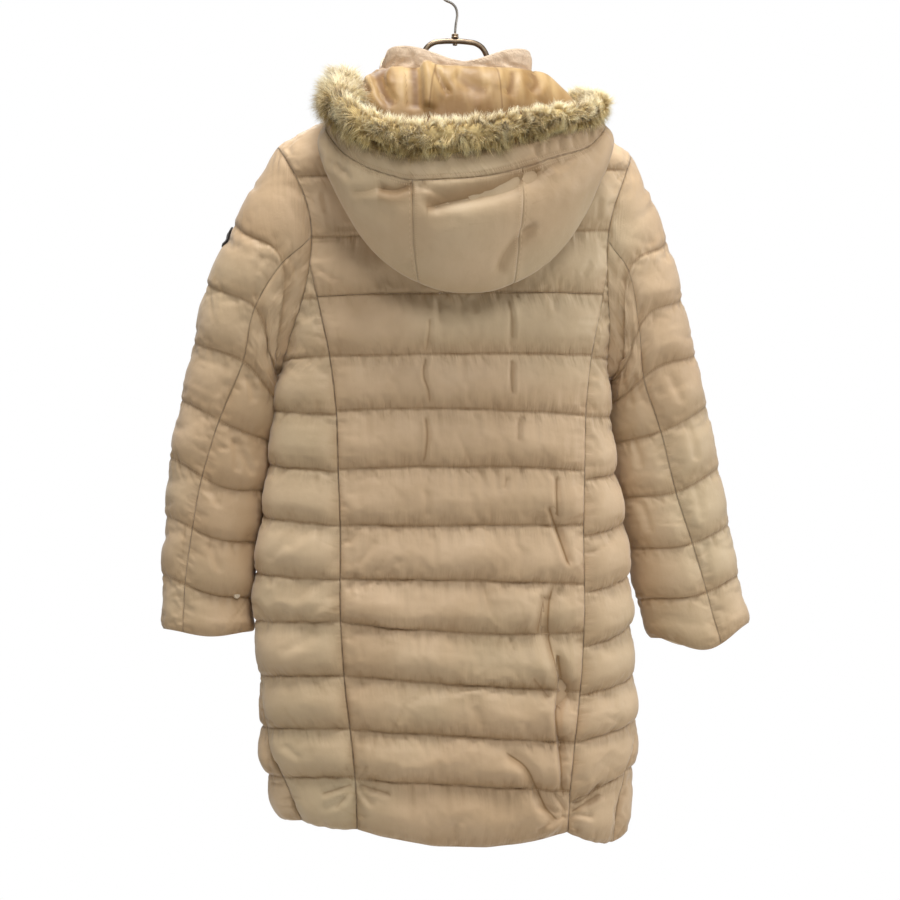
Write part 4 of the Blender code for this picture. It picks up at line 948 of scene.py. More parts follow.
def makeBadge():
    # a patch with round corners laid on the sleeve: both sides follow the cloth at their own heights
    panel = next(p for p in panels if p["name"] == "sleeveLeftUpper")
    shown, way = panel["shown"], panel["shownWay"]
    t = np.linspace(-1, 1, badgeShape["rows"])
    across, down = np.meshgrid(t, t)
    # a square with its corners drawn in: x times (1 - 0.12 y^7), and y in the same way
    x = across * (1 - np.abs(down) ** badgeShape["corner"] * badgeShape["drawn"])
    y = down * (1 - np.abs(across) ** badgeShape["corner"] * badgeShape["drawn"])
    place = np.interp(y, (-1, 1), badgeShape["places"])
    turn = np.interp(x, (-1, 1), badgeShape["turns"])
    first = sleeveShape["frontSeam"]
    last = np.interp(place, range(9), [sleeveShape["topSeam"]] + [row[8] for row in sleeveShape["Left"]])
    row = np.interp(place, panel["shownPlaces"], np.arange(len(shown)))
    column = (turn - first) / (last - first) * (shown.shape[1] - 1)
    i, j = row.astype(int), column.astype(int)
    a, b = (row - i)[..., None], (column - j)[..., None]

    def at(grid):
        left, right = (grid[i, k] * (1 - a) + grid[i + 1, k] * a for k in (j, j + 1))
        return left * (1 - b) + right * b

    base, out = at(shown), unit(at(way))
    along, drop = clothLengths(base)
    edge = np.minimum(np.minimum(along, along[:, -1:] - along), np.minimum(drop, drop[-1:] - drop))
    rise = badgeShape["gap"] + badgeShape["wall"] * (1 - 0.45 * np.exp(-edge / 0.7))
    lower = base + out * badgeShape["gap"]
    upper = base + out * rise[..., None]
    piece = wallMesh("sleeveBadge", upper, lower, np.arange(len(t)), out, (along, drop), {"edgeGap": edge})
    seat(piece, "sleeve_badge")
    return piece


# ---- hood, dropped down the back with its opening up ----

hoodShape = {
    # share across, then (out, back, drop) at neck, roll, fall, floor, bulge and rim
    "rows": [
        (0.0, (0, 65.8, 172), (0, 83, 135), (0, 108, 200), (0, 106, 384), (0, 162, 318), (0, 152, 240)),
        (0.2, (35.4, 62.7, 172), (41, 80, 135), (52, 104, 198), (64, 104, 368), (76, 154, 306), (78, 146, 234)),
        (0.4, (69.6, 52.4, 168), (76, 66, 134), (99, 92, 190), (118, 98, 314), (138, 130, 272), (137, 124, 219)),
        (0.6, (84.6, 19.6, 157), (95, 29, 134), (122, 56, 157), (151, 82, 212), (166, 93, 211), (155, 87, 190)),
        (0.7, (90, 0, 156), (99, 1, 138), (119, 16, 150), (138, 33, 169), (153, 41, 179), (148, 40, 168)),
        (0.8, (84, -22, 157), (96, -27, 139), (112, -26, 143), (126, -22, 150), (136, -17, 157), (136, -13, 152)),
        (1.0, (65, -66, 186), (71, -72, 177), (77, -77, 173), (84, -82, 172), (91, -86, 174), (97, -88, 172)),
    ],
    "shift": 11.0,          # slipped towards the wearer's left
    "slump": (17.0, 22.0),  # how far the ends of the rim hang lower, left and right
    # place along the rim, how much higher the rim lies there, radius of the fur
    "rim": [
        (-1.0, 0, 12), (-0.8, 4, 17), (-0.64, 7, 20), (-0.52, 10, 20), (-0.41, 14, 19), (-0.29, 18, 19.5),
        (-0.18, 13, 22.5), (-0.06, 5, 24), (0.05, 0, 24.5), (0.17, -7, 25), (0.28, -5, 27), (0.4, 0, 29.5),
        (0.6, 0, 31), (0.8, 0, 29), (1.0, 0, 20),
    ],
    "seam": 0.16, "band": 4.6,
    "cloth": 4.5, "loft": 4.0,
    "gap": 0.16,
    "step": 2.8, "bandStep": 2.0,
    "ease": 26.0,           # how far from a seam a panel is full
    "columns": (30, 100),   # on the middle panel and on each side
    "slack": (90.0, 1.3), "crumple": (26.0, 0.55),      # size and height
    "gather": 1.1, "gatherLength": 9.0,                 # height and length of the waves beside the band's seam
    "bandLoft": 0.6,        # share of the panels' height between the seams
    "foldReach": 34.0,      # how far the shade beside a fold reaches
}


def hoodPoint(places, spots):
    # cubic through the sections across, then cubic from neck (0) to rim (5)
    keys = [row[0] for row in hoodShape["rows"]]
    sections = np.array([row[1:] for row in hoodShape["rows"]], float) * (1, 1, -1)
    sections = np.concatenate([sections[:0:-1] * (-1, 1, 1), sections])
    keys = [-key for key in keys[:0:-1]] + keys
    across = through(keys, sections, places)
    points = through(range(6), across.swapaxes(0, 1), spots)
    points[..., 0] += hoodShape["shift"] * np.clip((points[..., 1] - 85) / 60, 0, 1)
    ends = smooth((np.abs(places) - 0.5) / 0.3)
    points[..., 0] -= 4 * ends[None]
    ends = ends * np.where(places > 0, *hoodShape["slump"])
    rim = np.array(hoodShape["rim"], float)
    spots = np.asarray(spots, float)[:, None]
    points[..., 2] -= ends[None] * smooth((spots - 0.4) / 2.6)
    points[..., 2] += through(rim[:, 0], rim[:, 1], places)[None] * smooth((spots - 3.3) / 1.7)
    return points


def hoodOutward(places, spots):
    # the shell's side: cross of a step down and a step across
    small = 0.02
    across = hoodPoint(np.minimum(places + small, 1), spots) - hoodPoint(np.maximum(places - small, -1), spots)
    down = hoodPoint(places, np.minimum(spots + small, 5)) - hoodPoint(places, np.maximum(spots - small, 0))
    return unit(np.cross(down, across))


hoodFolds = {
    # depth, half width, side of the ridge, then the points of its line, seen from behind
    "shell": [
        (2.2, 1.7, 1, 0.7, 232.1, 47.2, 222.8, 86.1, 213.4, 138.1, 198, 166.4, 190.9, 190.1, 188),
        (7, 11, -1, -38.5, 293.4, -12.4, 285.4, 17.7, 278.3, 47.8, 271.3, 67.8, 263.3, 87.9, 253.3, 108, 245.2),
        (4, 6, 1, -92, 268, -70, 270, -48, 262),
        (2.2, 3, 1, -72.6, 263.7, -60.5, 256.3, -49.5, 253.3),
        (2.4, 4, 1, -44.5, 263.7, -24.4, 272.9, -8.4, 275.7),
        (2.2, 6, 1, -124.7, 273.3, -104.7, 272.3, -82.6, 263.7),
        (1.8, 5, 1, -50.5, 346.5, -38.5, 345.5, -24.4, 339.5),
        (1.6, 4, -1, -62.5, 362.6, -52.5, 353.6),
        (2.3, 5, 1, 50.8, 371.6, 57.8, 349.6, 71.9, 330.5, 97.9, 312.4),
        (2, 4, -1, 75.9, 321.5, 97.9, 311.4),
        (1.6, 4, 1, -149.8, 234.2, -144.8, 249.3),
        (2, 3.5, 1, -142.8, 238.2, -132.8, 251.3),
        (1.8, 4, 1, -133.8, 244.2, -122.7, 261.3),
        (2.4, 4.5, -1, 124, 235.2, 102, 251.3),
        (2, 4, -1, 142.1, 229.2, 118, 249.3),
        (1.6, 3, 1, 96.9, 215.2, 94.9, 231.2),
        (1.8, 3, 1, 109, 212.1, 108, 229.2),
        (1.8, 3.2, -1, 124, 207.1, 127, 225.2),
        (1.6, 3, 1, 138.1, 205.1, 142.1, 221.2),
        (1.6, 3, 1, 158.1, 199.1, 159.1, 217.2),
        (1.2, 3, 1, 170.2, 197.1, 172.2, 213.1),
        (1.2, 7, 1, -30.4, 309.4, 7.7, 305.4),
        (1.2, 8, 1, -116.7, 285.4, -70.6, 305.4),
    ],
    "lining": [
        (12, 7.5, -1, -50.5, 118.2, -47.5, 139.3, -46.5, 155.3, -46.5, 178.4),
        (3, 4, 1, -24.4, 133.3, -16.4, 147.3, -7.4, 162.3),
        (6, 6, 1, -94.6, 127.2, -88.6, 141.3, -82.6, 159.3, -70.6, 175.4),
        (5, 5, -1, -78.6, 127.2, -86.6, 141.3, -84.6, 155.3),
        (4, 5, 1, -114.7, 135.3, -106.7, 147.3, -98.6, 163.3),
        (3, 8, 1, 65.8, 135.3, 63.8, 151.3, 57.8, 163.3),
        (3, 6, -1, 87.9, 135.3, 93.9, 147.3, 85.9, 159.3),
        (2.5, 9, 1, -2.4, 137.3, 17.7, 151.3, 37.8, 159.3),
    ],
}


def seamEase(length):
    # 0 at a seam rising to 1 away from it, and the distance to the nearer seam
    gap = np.minimum(length - length.min(), length.max() - length)
    return np.clip(gap / hoodShape["ease"], 0, 1) ** 0.5, gap


def soften(points, seed):
    # broad slack in a hanging cloth, then smaller crumples
    (broad, high), (small, low) = hoodShape["slack"], hoodShape["crumple"]
    return softNoise(points, broad, seed, 2) * high + softNoise(points * (1, 1, 0.6), small, seed + 1, 2) * low


def makeHoodPiece(name, places, spots, top, bottom, puff, seed):
    # one hood panel: full between its seams, flatter over the roll, with slack, folds and gathers outside
    base = hoodPoint(places, spots)
    way = hoodOutward(places, spots)
    along, down = clothLengths(base)
    fullAcross, acrossGap = seamEase(along.mean(axis=0))
    fullDown, downGap = seamEase(down[:, 0])
    full = fullDown[:, None] * (0.6 + 0.4 * fullAcross[None] ** 1.6)
    atRoll = 1 - 0.6 * np.exp(-((spots - 1) / 0.4) ** 2)[:, None]
    edgeGap = np.minimum(acrossGap[None], downGap[:, None])
    outside = smooth((spots - 2.2) / 0.6)[:, None] * smooth(way[..., 1] * 2.0 + 0.4)
    slack = soften(base, seed) * np.clip(edgeGap / 8, 0, 1) * outside
    rise = (hoodShape["cloth"] + puff * full) * atRoll + slack
    outer = base + way * rise[..., None]
    lift, side, deep = foldLift(outer, way, hoodFolds["shell"], hoodShape["foldReach"])
    lift *= outside * np.clip(edgeGap / 4, 0.5, 1)
    # pulled stitches at the band's seam
    pull = puckerWave(along, seed) * np.exp(-downGap[:, None] / hoodShape["gatherLength"])
    pull = pull * np.clip(downGap[:, None] / 2.5, 0, 1)
    outer = outer + way * (lift + hoodShape["gather"] * pull * outside)[..., None]
    for grid in (outer, base):
        drawIn(grid, hoodShape["gap"] / 2, True, top, bottom)
    # foldSide and foldDeep steer the painted shade in and beside the hood's folds
    floats = {
        "lineGap": np.full(along.shape, noSeam), "edgeGap": np.broadcast_to(acrossGap[None], along.shape),
        "hemGap": np.broadcast_to(downGap[:, None], along.shape), "foldSide": side, "foldDeep": deep * outside,
    }
    return wallMesh(name, outer, base, everyFew(len(spots), 4), way, (along, down), floats)


def puckerWave(along, seed):
    # uneven waves along a gathered seam: three sines, stronger and weaker by a slow fourth
    u = along / hoodShape["gatherLength"]
    wave = sum(high * np.sin(u * fast + k * seed) for k, high, fast in ((1, 1, 2.1), (2, 0.7, 3.7), (3, 0.5, 5.3)))
    return wave * (0.55 + 0.45 * np.sin(u * 0.6 + seed))


def spotRows(first, last, step):
    # places from neck to rim about one step apart on the middle of the side
    at = np.linspace(first, last, 400)
    middle = hoodPoint(np.array([0.35]), at)[:, 0]
    run = lengthsAlong(middle)
    return np.interp(np.linspace(0, run[-1], int(run[-1] / step) + 1), run, at)


def makeHood():
    # three panels from the neck to the band's seam, then the band along the rim
    seam, band, loft = hoodShape["seam"], hoodShape["band"], hoodShape["loft"]
    spots, bandSpots = spotRows(0, band, hoodShape["step"]), spotRows(band, 5, hoodShape["bandStep"])
    few, many = hoodShape["columns"]
    middle, side = np.linspace(-seam, seam, few), np.linspace(seam, 1, many)
    whole = np.concatenate([-side[::-1], middle[1:-1], side])
    made = []
    for name, node, places, rows, onBand, puff, seed in (
        ("hoodMiddle", "hood_middle", middle, spots, False, loft, 3),
        ("hoodSideLeft", "hood_side_left", side, spots, False, loft, 4),
        ("hoodSideRight", "hood_side_right", -side[::-1], spots, False, loft, 5),
        ("hoodBand", "hood_band", whole, bandSpots, True, loft * hoodShape["bandLoft"], 6),
    ):
        made.append(makeHoodPiece(name, places, rows, onBand, not onBand, puff, seed))
        seat(made[-1], node)
    return made


liningShape = {
    "wall": 1.2, "gap": 1.0, "step": 3.4, "columns": 170,
    "slack": (80.0, 1.8), "crumple": (34.0, 0.6),       # size and height
    "lowest": 2.0, "raised": 3.0,       # how far hollows and folds may sink under the cloth's middle height
    "flat": (0.64, 0.46), "mostArea": 0.29,             # metres and square metres
}


def makeLining():
    # a thin cloth on the hood's inner side, with its own folds
    places, spots = np.linspace(-1, 1, liningShape["columns"]), spotRows(0, 5, liningShape["step"])
    base = hoodPoint(places, spots)
    way = -hoodOutward(places, spots)
    along, down = clothLengths(base)
    edge = np.minimum(down[:, :1] - down[0, 0], down[-1, 0] - down[:, :1])
    edge = np.minimum(edge, np.minimum(along, along[:, -1:] - along))
    inside = smooth(edge / 20) * (0.35 + 0.65 * smooth((spots - 0.6) / 0.5))[:, None]
    (broad, high), (small, low) = liningShape["slack"], liningShape["crumple"]
    slack = softNoise(base, broad, 21, 1) * high + softNoise(base * (1, 1, 0.4), small, 22, 1) * low
    slack = np.maximum(slack + liningShape["lowest"], 0)
    lift, side, deep = foldLift(base, way, hoodFolds["lining"])
    rise = liningShape["gap"] + (slack + np.maximum(lift + liningShape["raised"], 0)) * inside
    lower = base + way * rise[..., None]
    upper = base + way * (rise + liningShape["wall"])[..., None]
    for grid in (lower, upper):
        drawIn(grid, 2, False)
    seamAt = np.searchsorted(places, [-hoodShape["seam"], hoodShape["seam"]])
    seamGap = np.min(np.abs(along[:, None, :] - along[:, seamAt][:, :, None]), axis=1)
    # lineGap, foldSide and foldDeep steer the lining's painted shade at seams and in folds
    floats = {"lineGap": seamGap, "foldSide": side, "foldDeep": deep}
    lining = wallMesh("hoodLining", upper, lower, everyFew(len(spots), 4), way, (along, down), floats)
    area = float(np.linalg.norm(cellSides(base), axis=-1).sum() / 1e6)
    seat(lining, "hood_lining")
    print("hood lining area", round(area, 4), "m2")
    return lining


badge = makeBadge()
hoodPieces = makeHood()
hoodLining = makeLining()
print("hood done")


# ---- collar: a soft stand round the neck, its ends apart at the top ----

collarShape = {
    # share round the neck from the centre front, drop of the top edge
    "rows": [(0.0, 108), (0.06, 98), (0.14, 93), (0.24, 94), (0.38, 105), (0.5, 117), (0.58, 112), (0.66, 103),
             (0.73, 101), (0.8, 103), (0.88, 110), (0.95, 117), (1.0, 120)],
    "lean": 7.0, "open": 8.0, "slip": 9.0,
    "columns": 190, "lines": 34,
    "cloth": 3.4, "loft": 3.6, "inner": 0.4,            # heights over the line between the two sides
    "slack": (34.0, 1.6),               # size and height of the soft crumples
    "crumples": ((46.0, 3.0, 35), (30.0, 1.8, 36)),     # size, depth and seed of the sharp valleys
}


def neckLine():
    # points and ways of the neckline from the left front round the back to the right front
    spots, ways = [], []
    frontX = np.linspace(bodyShape["zipHalf"], neckHalf - 0.3, 40)
    backX = np.linspace(neckHalf - 0.3, 0, 50)
    for side in (1, -1):
        for x, half in ((frontX, -1), (backX[1:], 1)):
            drop = neckDrop(x, half)
            turn = turnAt(side * x, drop) * half
            spots.append(bodyPoint(turn, drop))
            ways.append(bodyOutward(turn, drop))
    left, leftWay = np.concatenate(spots[:2]), np.concatenate(ways[:2])
    right, rightWay = np.concatenate(spots[2:]), np.concatenate(ways[2:])
    return np.concatenate([left, right[-2::-1]]), np.concatenate([leftWay, rightWay[-2::-1]])


def makeCollar():
    # each row: the neckline raised by a share of the height, leaning out, with its front ends apart
    ring, outward = neckLine()
    length = lengthsAlong(ring)
    even = np.linspace(0, length[-1], collarShape["columns"])
    ring = np.stack([np.interp(even, length, ring[:, k]) for k in range(3)], -1)
    outward = unit(np.stack([np.interp(even, length, outward[:, k]) for k in range(3)], -1))
    share = 1 - np.abs(2 * even / even[-1] - 1)
    keys, tops = np.array(collarShape["rows"], float).T
    height = (-through(keys, tops, share) - ring[:, 2])[:, None]
    radial = unit(ring * (1, 1, 0))
    ups = np.linspace(0, 1, collarShape["lines"])
    grid = ring[None] + height[None] * ups[:, None, None] * np.array([0, 0, 1.0])
    grid = grid + radial[None] * (collarShape["lean"] * ups ** 1.5)[:, None, None]
    partWay = collarShape["open"] * ups[:, None] ** 1.2 * np.clip(1 - share / 0.3, 0, 1)[None] ** 1.5
    slip = collarShape["slip"] * ups[:, None] * np.clip(1 - share / 0.5, 0, 1)[None]
    grid[..., 0] += np.sign(ring[:, 0])[None] * partWay - slip
    grid[0] += (0, 0, 0.5)
    ways = np.repeat(radial[None], len(ups), axis=0)
    blend = np.exp(-(ups / 0.08) ** 2)[:, None, None]
    ways = unit(ways * (1 - blend) + outward[None] * blend)
    along, down = clothLengths(grid)
    ends = np.minimum(along, along[:, -1:] - along)
    full = np.clip(1 - np.abs(2 * ups - 1) ** 3, 0, 1)[:, None] ** 0.6 * np.clip(ends / 10, 0, 1) ** 0.5
    broad, high = collarShape["slack"]
    slack = softNoise(grid * (1, 1, 0.45), broad, 31, 2) * high * full
    for size, deep, seed in collarShape["crumples"]:
        slack -= deep * full * np.exp(-(softNoise(grid * (1, 1, 0.8), size, seed, 1) / 0.16) ** 2)
    rise = collarShape["cloth"] + collarShape["loft"] * full + slack
    rise *= 1 - 0.35 * smooth((ups - 0.9) / 0.1)[:, None]
    outer = grid + ways * rise[..., None]
    inner = grid - ways * (collarShape["inner"] * full)[..., None]
    floats = {"lineGap": np.full(along.shape, noSeam), "edgeGap": ends, "hemGap": np.abs(down - down.max())}
    collar = wallMesh("standCollar", outer, inner, everyFew(len(ups), 3), ways, (along, down), floats)
    seat(collar, "collar")
    return collar


collar = makeCollar()
print("collar done")


# ---- fur trim along the hood's rim ----

furShape = {
    "radius": 27.0,                     # the reach that the length of the strands is given for
    "core": 0.52,                       # size of the dense underfur against the reach
    "strands": 33000, "clumps": 1500,
    "length": 22.0, "thick": 0.38,
    "gather": 0.55,                     # how far tips lean to their clump
    "curl": 3.0, "sag": 0.16,
    "points": 3, "names": ("furRight", "furMiddle", "furLeft"), "cuts": [0, 0.34, 0.67, 1],
    "spread": (3.4, 0.2),               # how far strands stand from their clump, along the rim and round it
    "scatter": (0.22, 0.16),            # how much guides and strands differ in direction
    "lean": 0.5, "fineLean": 0.35, "turn": 0.55, "uneven": 0.22,
    "endReach": 26.0, "endFan": 1.5,    # the trim's ends are closed by strands that fan out
    "trim": (0.62, 1.08), "thickness": (0.7, 1.25),
    "tone": 0.54, "patches": 0.33, "clumpTone": 0.16, "strandTone": 0.08,
    "paleEnd": 0.35, "paleReach": 110.0,    # the end on the wearer's left is paler
}


def furFrame(count=240):
    # the rim's line with its own directions and the fur's radius
    places = np.linspace(-0.985, 0.985, count)
    edge = hoodPoint(places, np.array([4.9, 5.0]))
    ahead = unit(edge[1] - edge[0])
    along = unit(np.gradient(edge[1], axis=0))
    aside = unit(np.cross(along, ahead))
    rim = np.array(hoodShape["rim"], float)
    radius = through(rim[:, 0], rim[:, 2], places)[:, None]
    outer = hoodOutward(places, np.array([5.0]))[0] * (2 + 7 * np.abs(places[:, None]))
    centre = edge[1] + ahead * (0.8 * radius + 0.6) + outer + (0, 0.22, 0) * radius
    return centre, ahead, aside, along, radius


def strandMesh(name, lines, thick, tone, under):
    # three-sided strands: rings at every point but the last, which is the tip, and a closed root
    count, steps = lines.shape[:2]
    way = unit(np.gradient(lines, axis=1))
    helper = np.where(np.abs(way[..., 2:3]) < 0.8, np.array([0, 0, 1.0]), np.array([1.0, 0, 0]))
    first = unit(np.cross(way, helper))
    second = np.cross(way, first)
    angles = np.radians([90, 210, 330])
    width = thick[:, None] * np.linspace(1.0, 0.55, steps - 1)[None]
    c, s = np.cos(angles)[:, None], np.sin(angles)[:, None]
    rings = lines[:, :-1, None] + width[..., None, None] * (c * first[:, :-1, None] + s * second[:, :-1, None])
    each = 3 * (steps - 1) + 1
    points = np.concatenate([rings.reshape(count, -1, 3), lines[:, -1:]], axis=1).reshape(-1, 3)
    start = np.arange(count)[:, None] * each
    quads = []
    for i in range(steps - 2):
        for j in range(3):
            k = (j + 1) % 3
            quads.append([3 * i + j, 3 * i + k, 3 * i + 3 + k, 3 * i + 3 + j])
    last = 3 * (steps - 2)
    triples = [[last + j, last + (j + 1) % 3, each - 1] for j in range(3)] + [[2, 1, 0]]
    quads = (start[:, :, None] + np.array(quads)[None]).reshape(-1, 4)
    triples = (start[:, :, None] + np.array(triples)[None]).reshape(-1, 3)
    mesh = bpy.data.meshes.new(name)
    mesh.vertices.add(len(points))
    mesh.vertices.foreach_set("co", (points / 1000).ravel())
    mesh.loops.add(quads.size + triples.size)
    mesh.loops.foreach_set("vertex_index", np.concatenate([quads.ravel(), triples.ravel()]))
    mesh.polygons.add(len(quads) + len(triples))
    sizes = np.concatenate([np.full(len(quads), 4), np.full(len(triples), 3)])
    mesh.polygons.foreach_set("loop_start", np.concatenate([[0], np.cumsum(sizes)[:-1]]))
    mesh.polygons.foreach_set("use_smooth", np.ones(len(sizes), bool))
    mesh.update(calc_edges=True)
    level = np.concatenate([np.repeat(np.linspace(0, 1, steps)[:-1], 3), [1.0]])
    floats = {"tip": np.tile(level, count), "tone": np.repeat(tone, each), "under": np.repeat(under, each)}
    for label, values in floats.items():
        mesh.attributes.new(label, "FLOAT", "POINT").data.foreach_set("value", values)
    return placed(name, mesh)


def makeFur():
    # guide lines for the clumps, then strands that lean to their clump's guide, in three pieces, over a core
    centre, ahead, aside, along, radius = furFrame()
    run = lengthsAlong(centre)
    dice = np.random.default_rng(11)
    steps = np.linspace(0, 1, furShape["points"])

    def pick(values, spot):
        return np.stack([np.interp(spot, run, values[:, k]) for k in range(values.shape[1])], -1)

    def grow(spot, angle, scatter, seed):
        # spot: millimetres along the rim; angle: round it from "ahead". Returns the strands' lines
        middle, reach = pick(centre, spot), pick(radius, spot)
        front, side, rim = (unit(pick(ways, spot)) for ways in (ahead, aside, along))
        out = front * np.cos(angle)[:, None] + side * np.sin(angle)[:, None]
        root = middle + out * reach * furShape["core"] * 0.86
        lean = softNoise(root, 38.0, seed, 2)[:, None] * furShape["lean"]
        lean = lean + softNoise(root, 14.0, seed + 5, 1)[:, None] * furShape["fineLean"]
        turn = softNoise(root, 30.0, seed + 9, 2)[:, None] * furShape["turn"]
        end, most = furShape["endReach"], furShape["endFan"]
        fan = np.interp(spot, [0, end, run[-1] - end, run[-1]], [-most, -0.12, 0.12, most])[:, None]
        way = unit(out + rim * (lean + fan) + np.cross(rim, out) * turn + scatter)
        length = 1 + furShape["uneven"] * softNoise(root, 20.0, seed + 3, 2)[:, None]
        length = furShape["length"] * reach / furShape["radius"] * length
        bend = np.cross(way, rim) * softNoise(root, 11.0, seed + 2, 1)[:, None]
        bend = unit(bend + rim * softNoise(root, 13.0, seed + 4, 1)[:, None])
        t = steps[None, :, None]
        lines = root[:, None] + way[:, None] * length[:, None] * t
        lines = lines + bend[:, None] * furShape["curl"] * np.sin(3.6 * t)
        lines[..., 2] -= furShape["sag"] * length * (steps ** 2)[None]
        return lines

    clumps = furShape["clumps"]
    clumpSpot = dice.uniform(0, run[-1], clumps)
    clumpAngle = dice.uniform(-3.1, 3.1, clumps)
    guides = grow(clumpSpot, clumpAngle, dice.normal(size=(clumps, 3)) * furShape["scatter"][0], 40)
    count = furShape["strands"]
    chosen = dice.integers(0, clumps, count)
    spread = dice.normal(size=(2, count))
    spot = np.clip(clumpSpot[chosen] + spread[0] * furShape["spread"][0], 0, run[-1])
    angle = clumpAngle[chosen] + spread[1] * furShape["spread"][1]
    lines = grow(spot, angle, dice.normal(size=(count, 3)) * furShape["scatter"][1], 40)
    pull = furShape["gather"] * steps[None, :, None] ** 0.8 * dice.uniform(0.55, 1.0, (count, 1, 1))
    lines = lines * (1 - pull) + (guides[chosen] + (lines[:, :1] - guides[chosen][:, :1]) * 0.15) * pull
    trim = dice.uniform(*furShape["trim"], (count, 1, 1))
    lines = lines[:, :1] + (lines - lines[:, :1]) * trim
    thick = furShape["thick"] * dice.uniform(*furShape["thickness"], count)
    tone = furShape["tone"] + furShape["patches"] * softNoise(lines[:, 0], 46.0, 50, 2)
    tone += furShape["clumpTone"] * dice.normal(size=clumps)[chosen]
    tone += furShape["strandTone"] * dice.normal(size=count)
    tone += furShape["paleEnd"] * np.clip(1 - (run[-1] - spot) / furShape["paleReach"], 0, 1)
    # 0 for a root on top of the trim, 1 for one below it
    high = (lines[:, 0] - pick(centre, spot))[:, 2]
    under = np.clip(0.5 - high / (2 * pick(radius, spot)[:, 0] * furShape["core"]), 0, 1)
    made = []
    cuts = np.quantile(spot, furShape["cuts"])
    for number, name in enumerate(furShape["names"]):
        inside = (spot >= cuts[number]) & ((spot < cuts[number + 1]) | (number == 2))
        made.append(strandMesh(name, lines[inside], thick[inside], tone[inside], under[inside]))
    around = fullTurn(28)
    c, s = np.cos(around)[:, None], np.sin(around)[:, None]
    rings = centre[:, None] + radius[:, None] * furShape["core"] * (c * ahead[:, None] + s * aside[:, None])
    rings += unit(rings - centre[:, None]) * (softNoise(rings, 9.0, 61, 2) * 1.2)[..., None]
    made.append(rodMesh("furCore", rings))
    for piece in made:
        seat(piece, "fur_trim")
    return made


# ---- rods and turned parts ----

def rodMesh(name, rings):
    # closed rings joined in order, each end closed by a fan to its own middle
    count, around = rings.shape[:2]
    index = np.arange(count * around).reshape(count, around)
    after = np.roll(index, -1, axis=1)
    quads = np.stack([index[:-1], after[:-1], after[1:], index[1:]], -1).reshape(-1, 4)
    first, last = count * around, count * around + 1
    fans = [np.stack([after[0], index[0], np.full(around, first)], -1)]
    fans.append(np.stack([index[-1], after[-1], np.full(around, last)], -1))
    points = np.concatenate([rings.reshape(-1, 3), rings[0].mean(0)[None], rings[-1].mean(0)[None]])
    faces = quads.tolist() + np.concatenate(fans).tolist()
    middle, half = rings.mean(axis=1), count // 2
    way = np.cross(rings[half, 1] - rings[half, 0], middle[half] - middle[half - 1])
    if np.dot(way, rings[half, 0] - middle[half]) < 0:
        faces = [face[::-1] for face in faces]
    return placed(name, newMesh(name, points, faces, True))


def tubeRings(path, radius, around=20, groove=0.0):
    # rings round a smooth line through the path's points, ends drawn in to a round tip; a groove may run
    # along the side that faces back
    path = np.asarray(path, float)
    keys = lengthsAlong(path)
    line = through(keys, path, np.linspace(0, keys[-1], max(8, int(keys[-1] / (radius * 0.9)))))
    way = unit(np.gradient(line, axis=0))
    back = np.array([0, 1.0, 0])
    first = unit(back - way * (way @ back)[:, None])
    second = np.cross(way, first)
    tips = np.sin(np.radians([8, 35, 62]))
    size = np.concatenate([tips, np.ones(len(line) - 6), tips[::-1]])
    third = radius * 0.33
    line[:3] = line[0] + (way[0] * np.array([0, 1, 2])[:, None]) * third
    line[-3:] = line[-1] - (way[-1] * np.array([2, 1, 0])[:, None]) * third
    angles = fullTurn(around)
    dent = 1 - groove * (np.exp(-(np.sin(angles / 2) / 0.16) ** 2) + np.exp(-(np.cos(angles / 2) / 0.16) ** 2))
    arms = np.cos(angles)[None, :, None] * first[:, None] + np.sin(angles)[None, :, None] * second[:, None]
    return line[:, None] + arms * (radius * size)[:, None, None] * dent[None, :, None]


def turned(name, profile, around=32):
    # a profile of (radius, drop) spun about an upright line
    profile = np.array(profile, float)
    angles = fullTurn(around)
    x, y = profile[:, :1] * np.cos(angles), profile[:, :1] * np.sin(angles)
    return rodMesh(name, np.stack([x, y, -np.repeat(profile[:, 1:], around, axis=1)], axis=-1))


# ---- hanger ----

hangerShape = {
    "rows": [(0, 86), (14, 86.5), (26, 88.5), (33, 93), (38, 101), (42, 116), (48, 137), (57, 153), (70, 163)],
    "bar": 3.3, "gap": 1.9, "reach": 188.0,
    "hookRadius": 21.0, "wire": 1.5, "nutRadius": 4.2, "nutTop": 77.4, "groove": 0.10,
    "arms": [86, 113, 140, 172],
    "stem": [(-1, 0, -66), (-2.5, 0, -52), (-1, 0, -46), (4, 0, -40.5)],
    # radius and drop; those of the nut count from its own radius and top
    "rivet": [(1.2, 89.5), (2.7, 89.5), (2.9, 90.2), (2.5, 91.2), (1.2, 91.5)],
    "nut": [(-0.6, 0), (0, 0.5), (0, 2.0), (-0.9, 2.3), (-0.9, 2.8), (0.3, 3.1), (0.3, 4.6), (-0.2, 5.0)],
    "nutBore": 1.9,
}


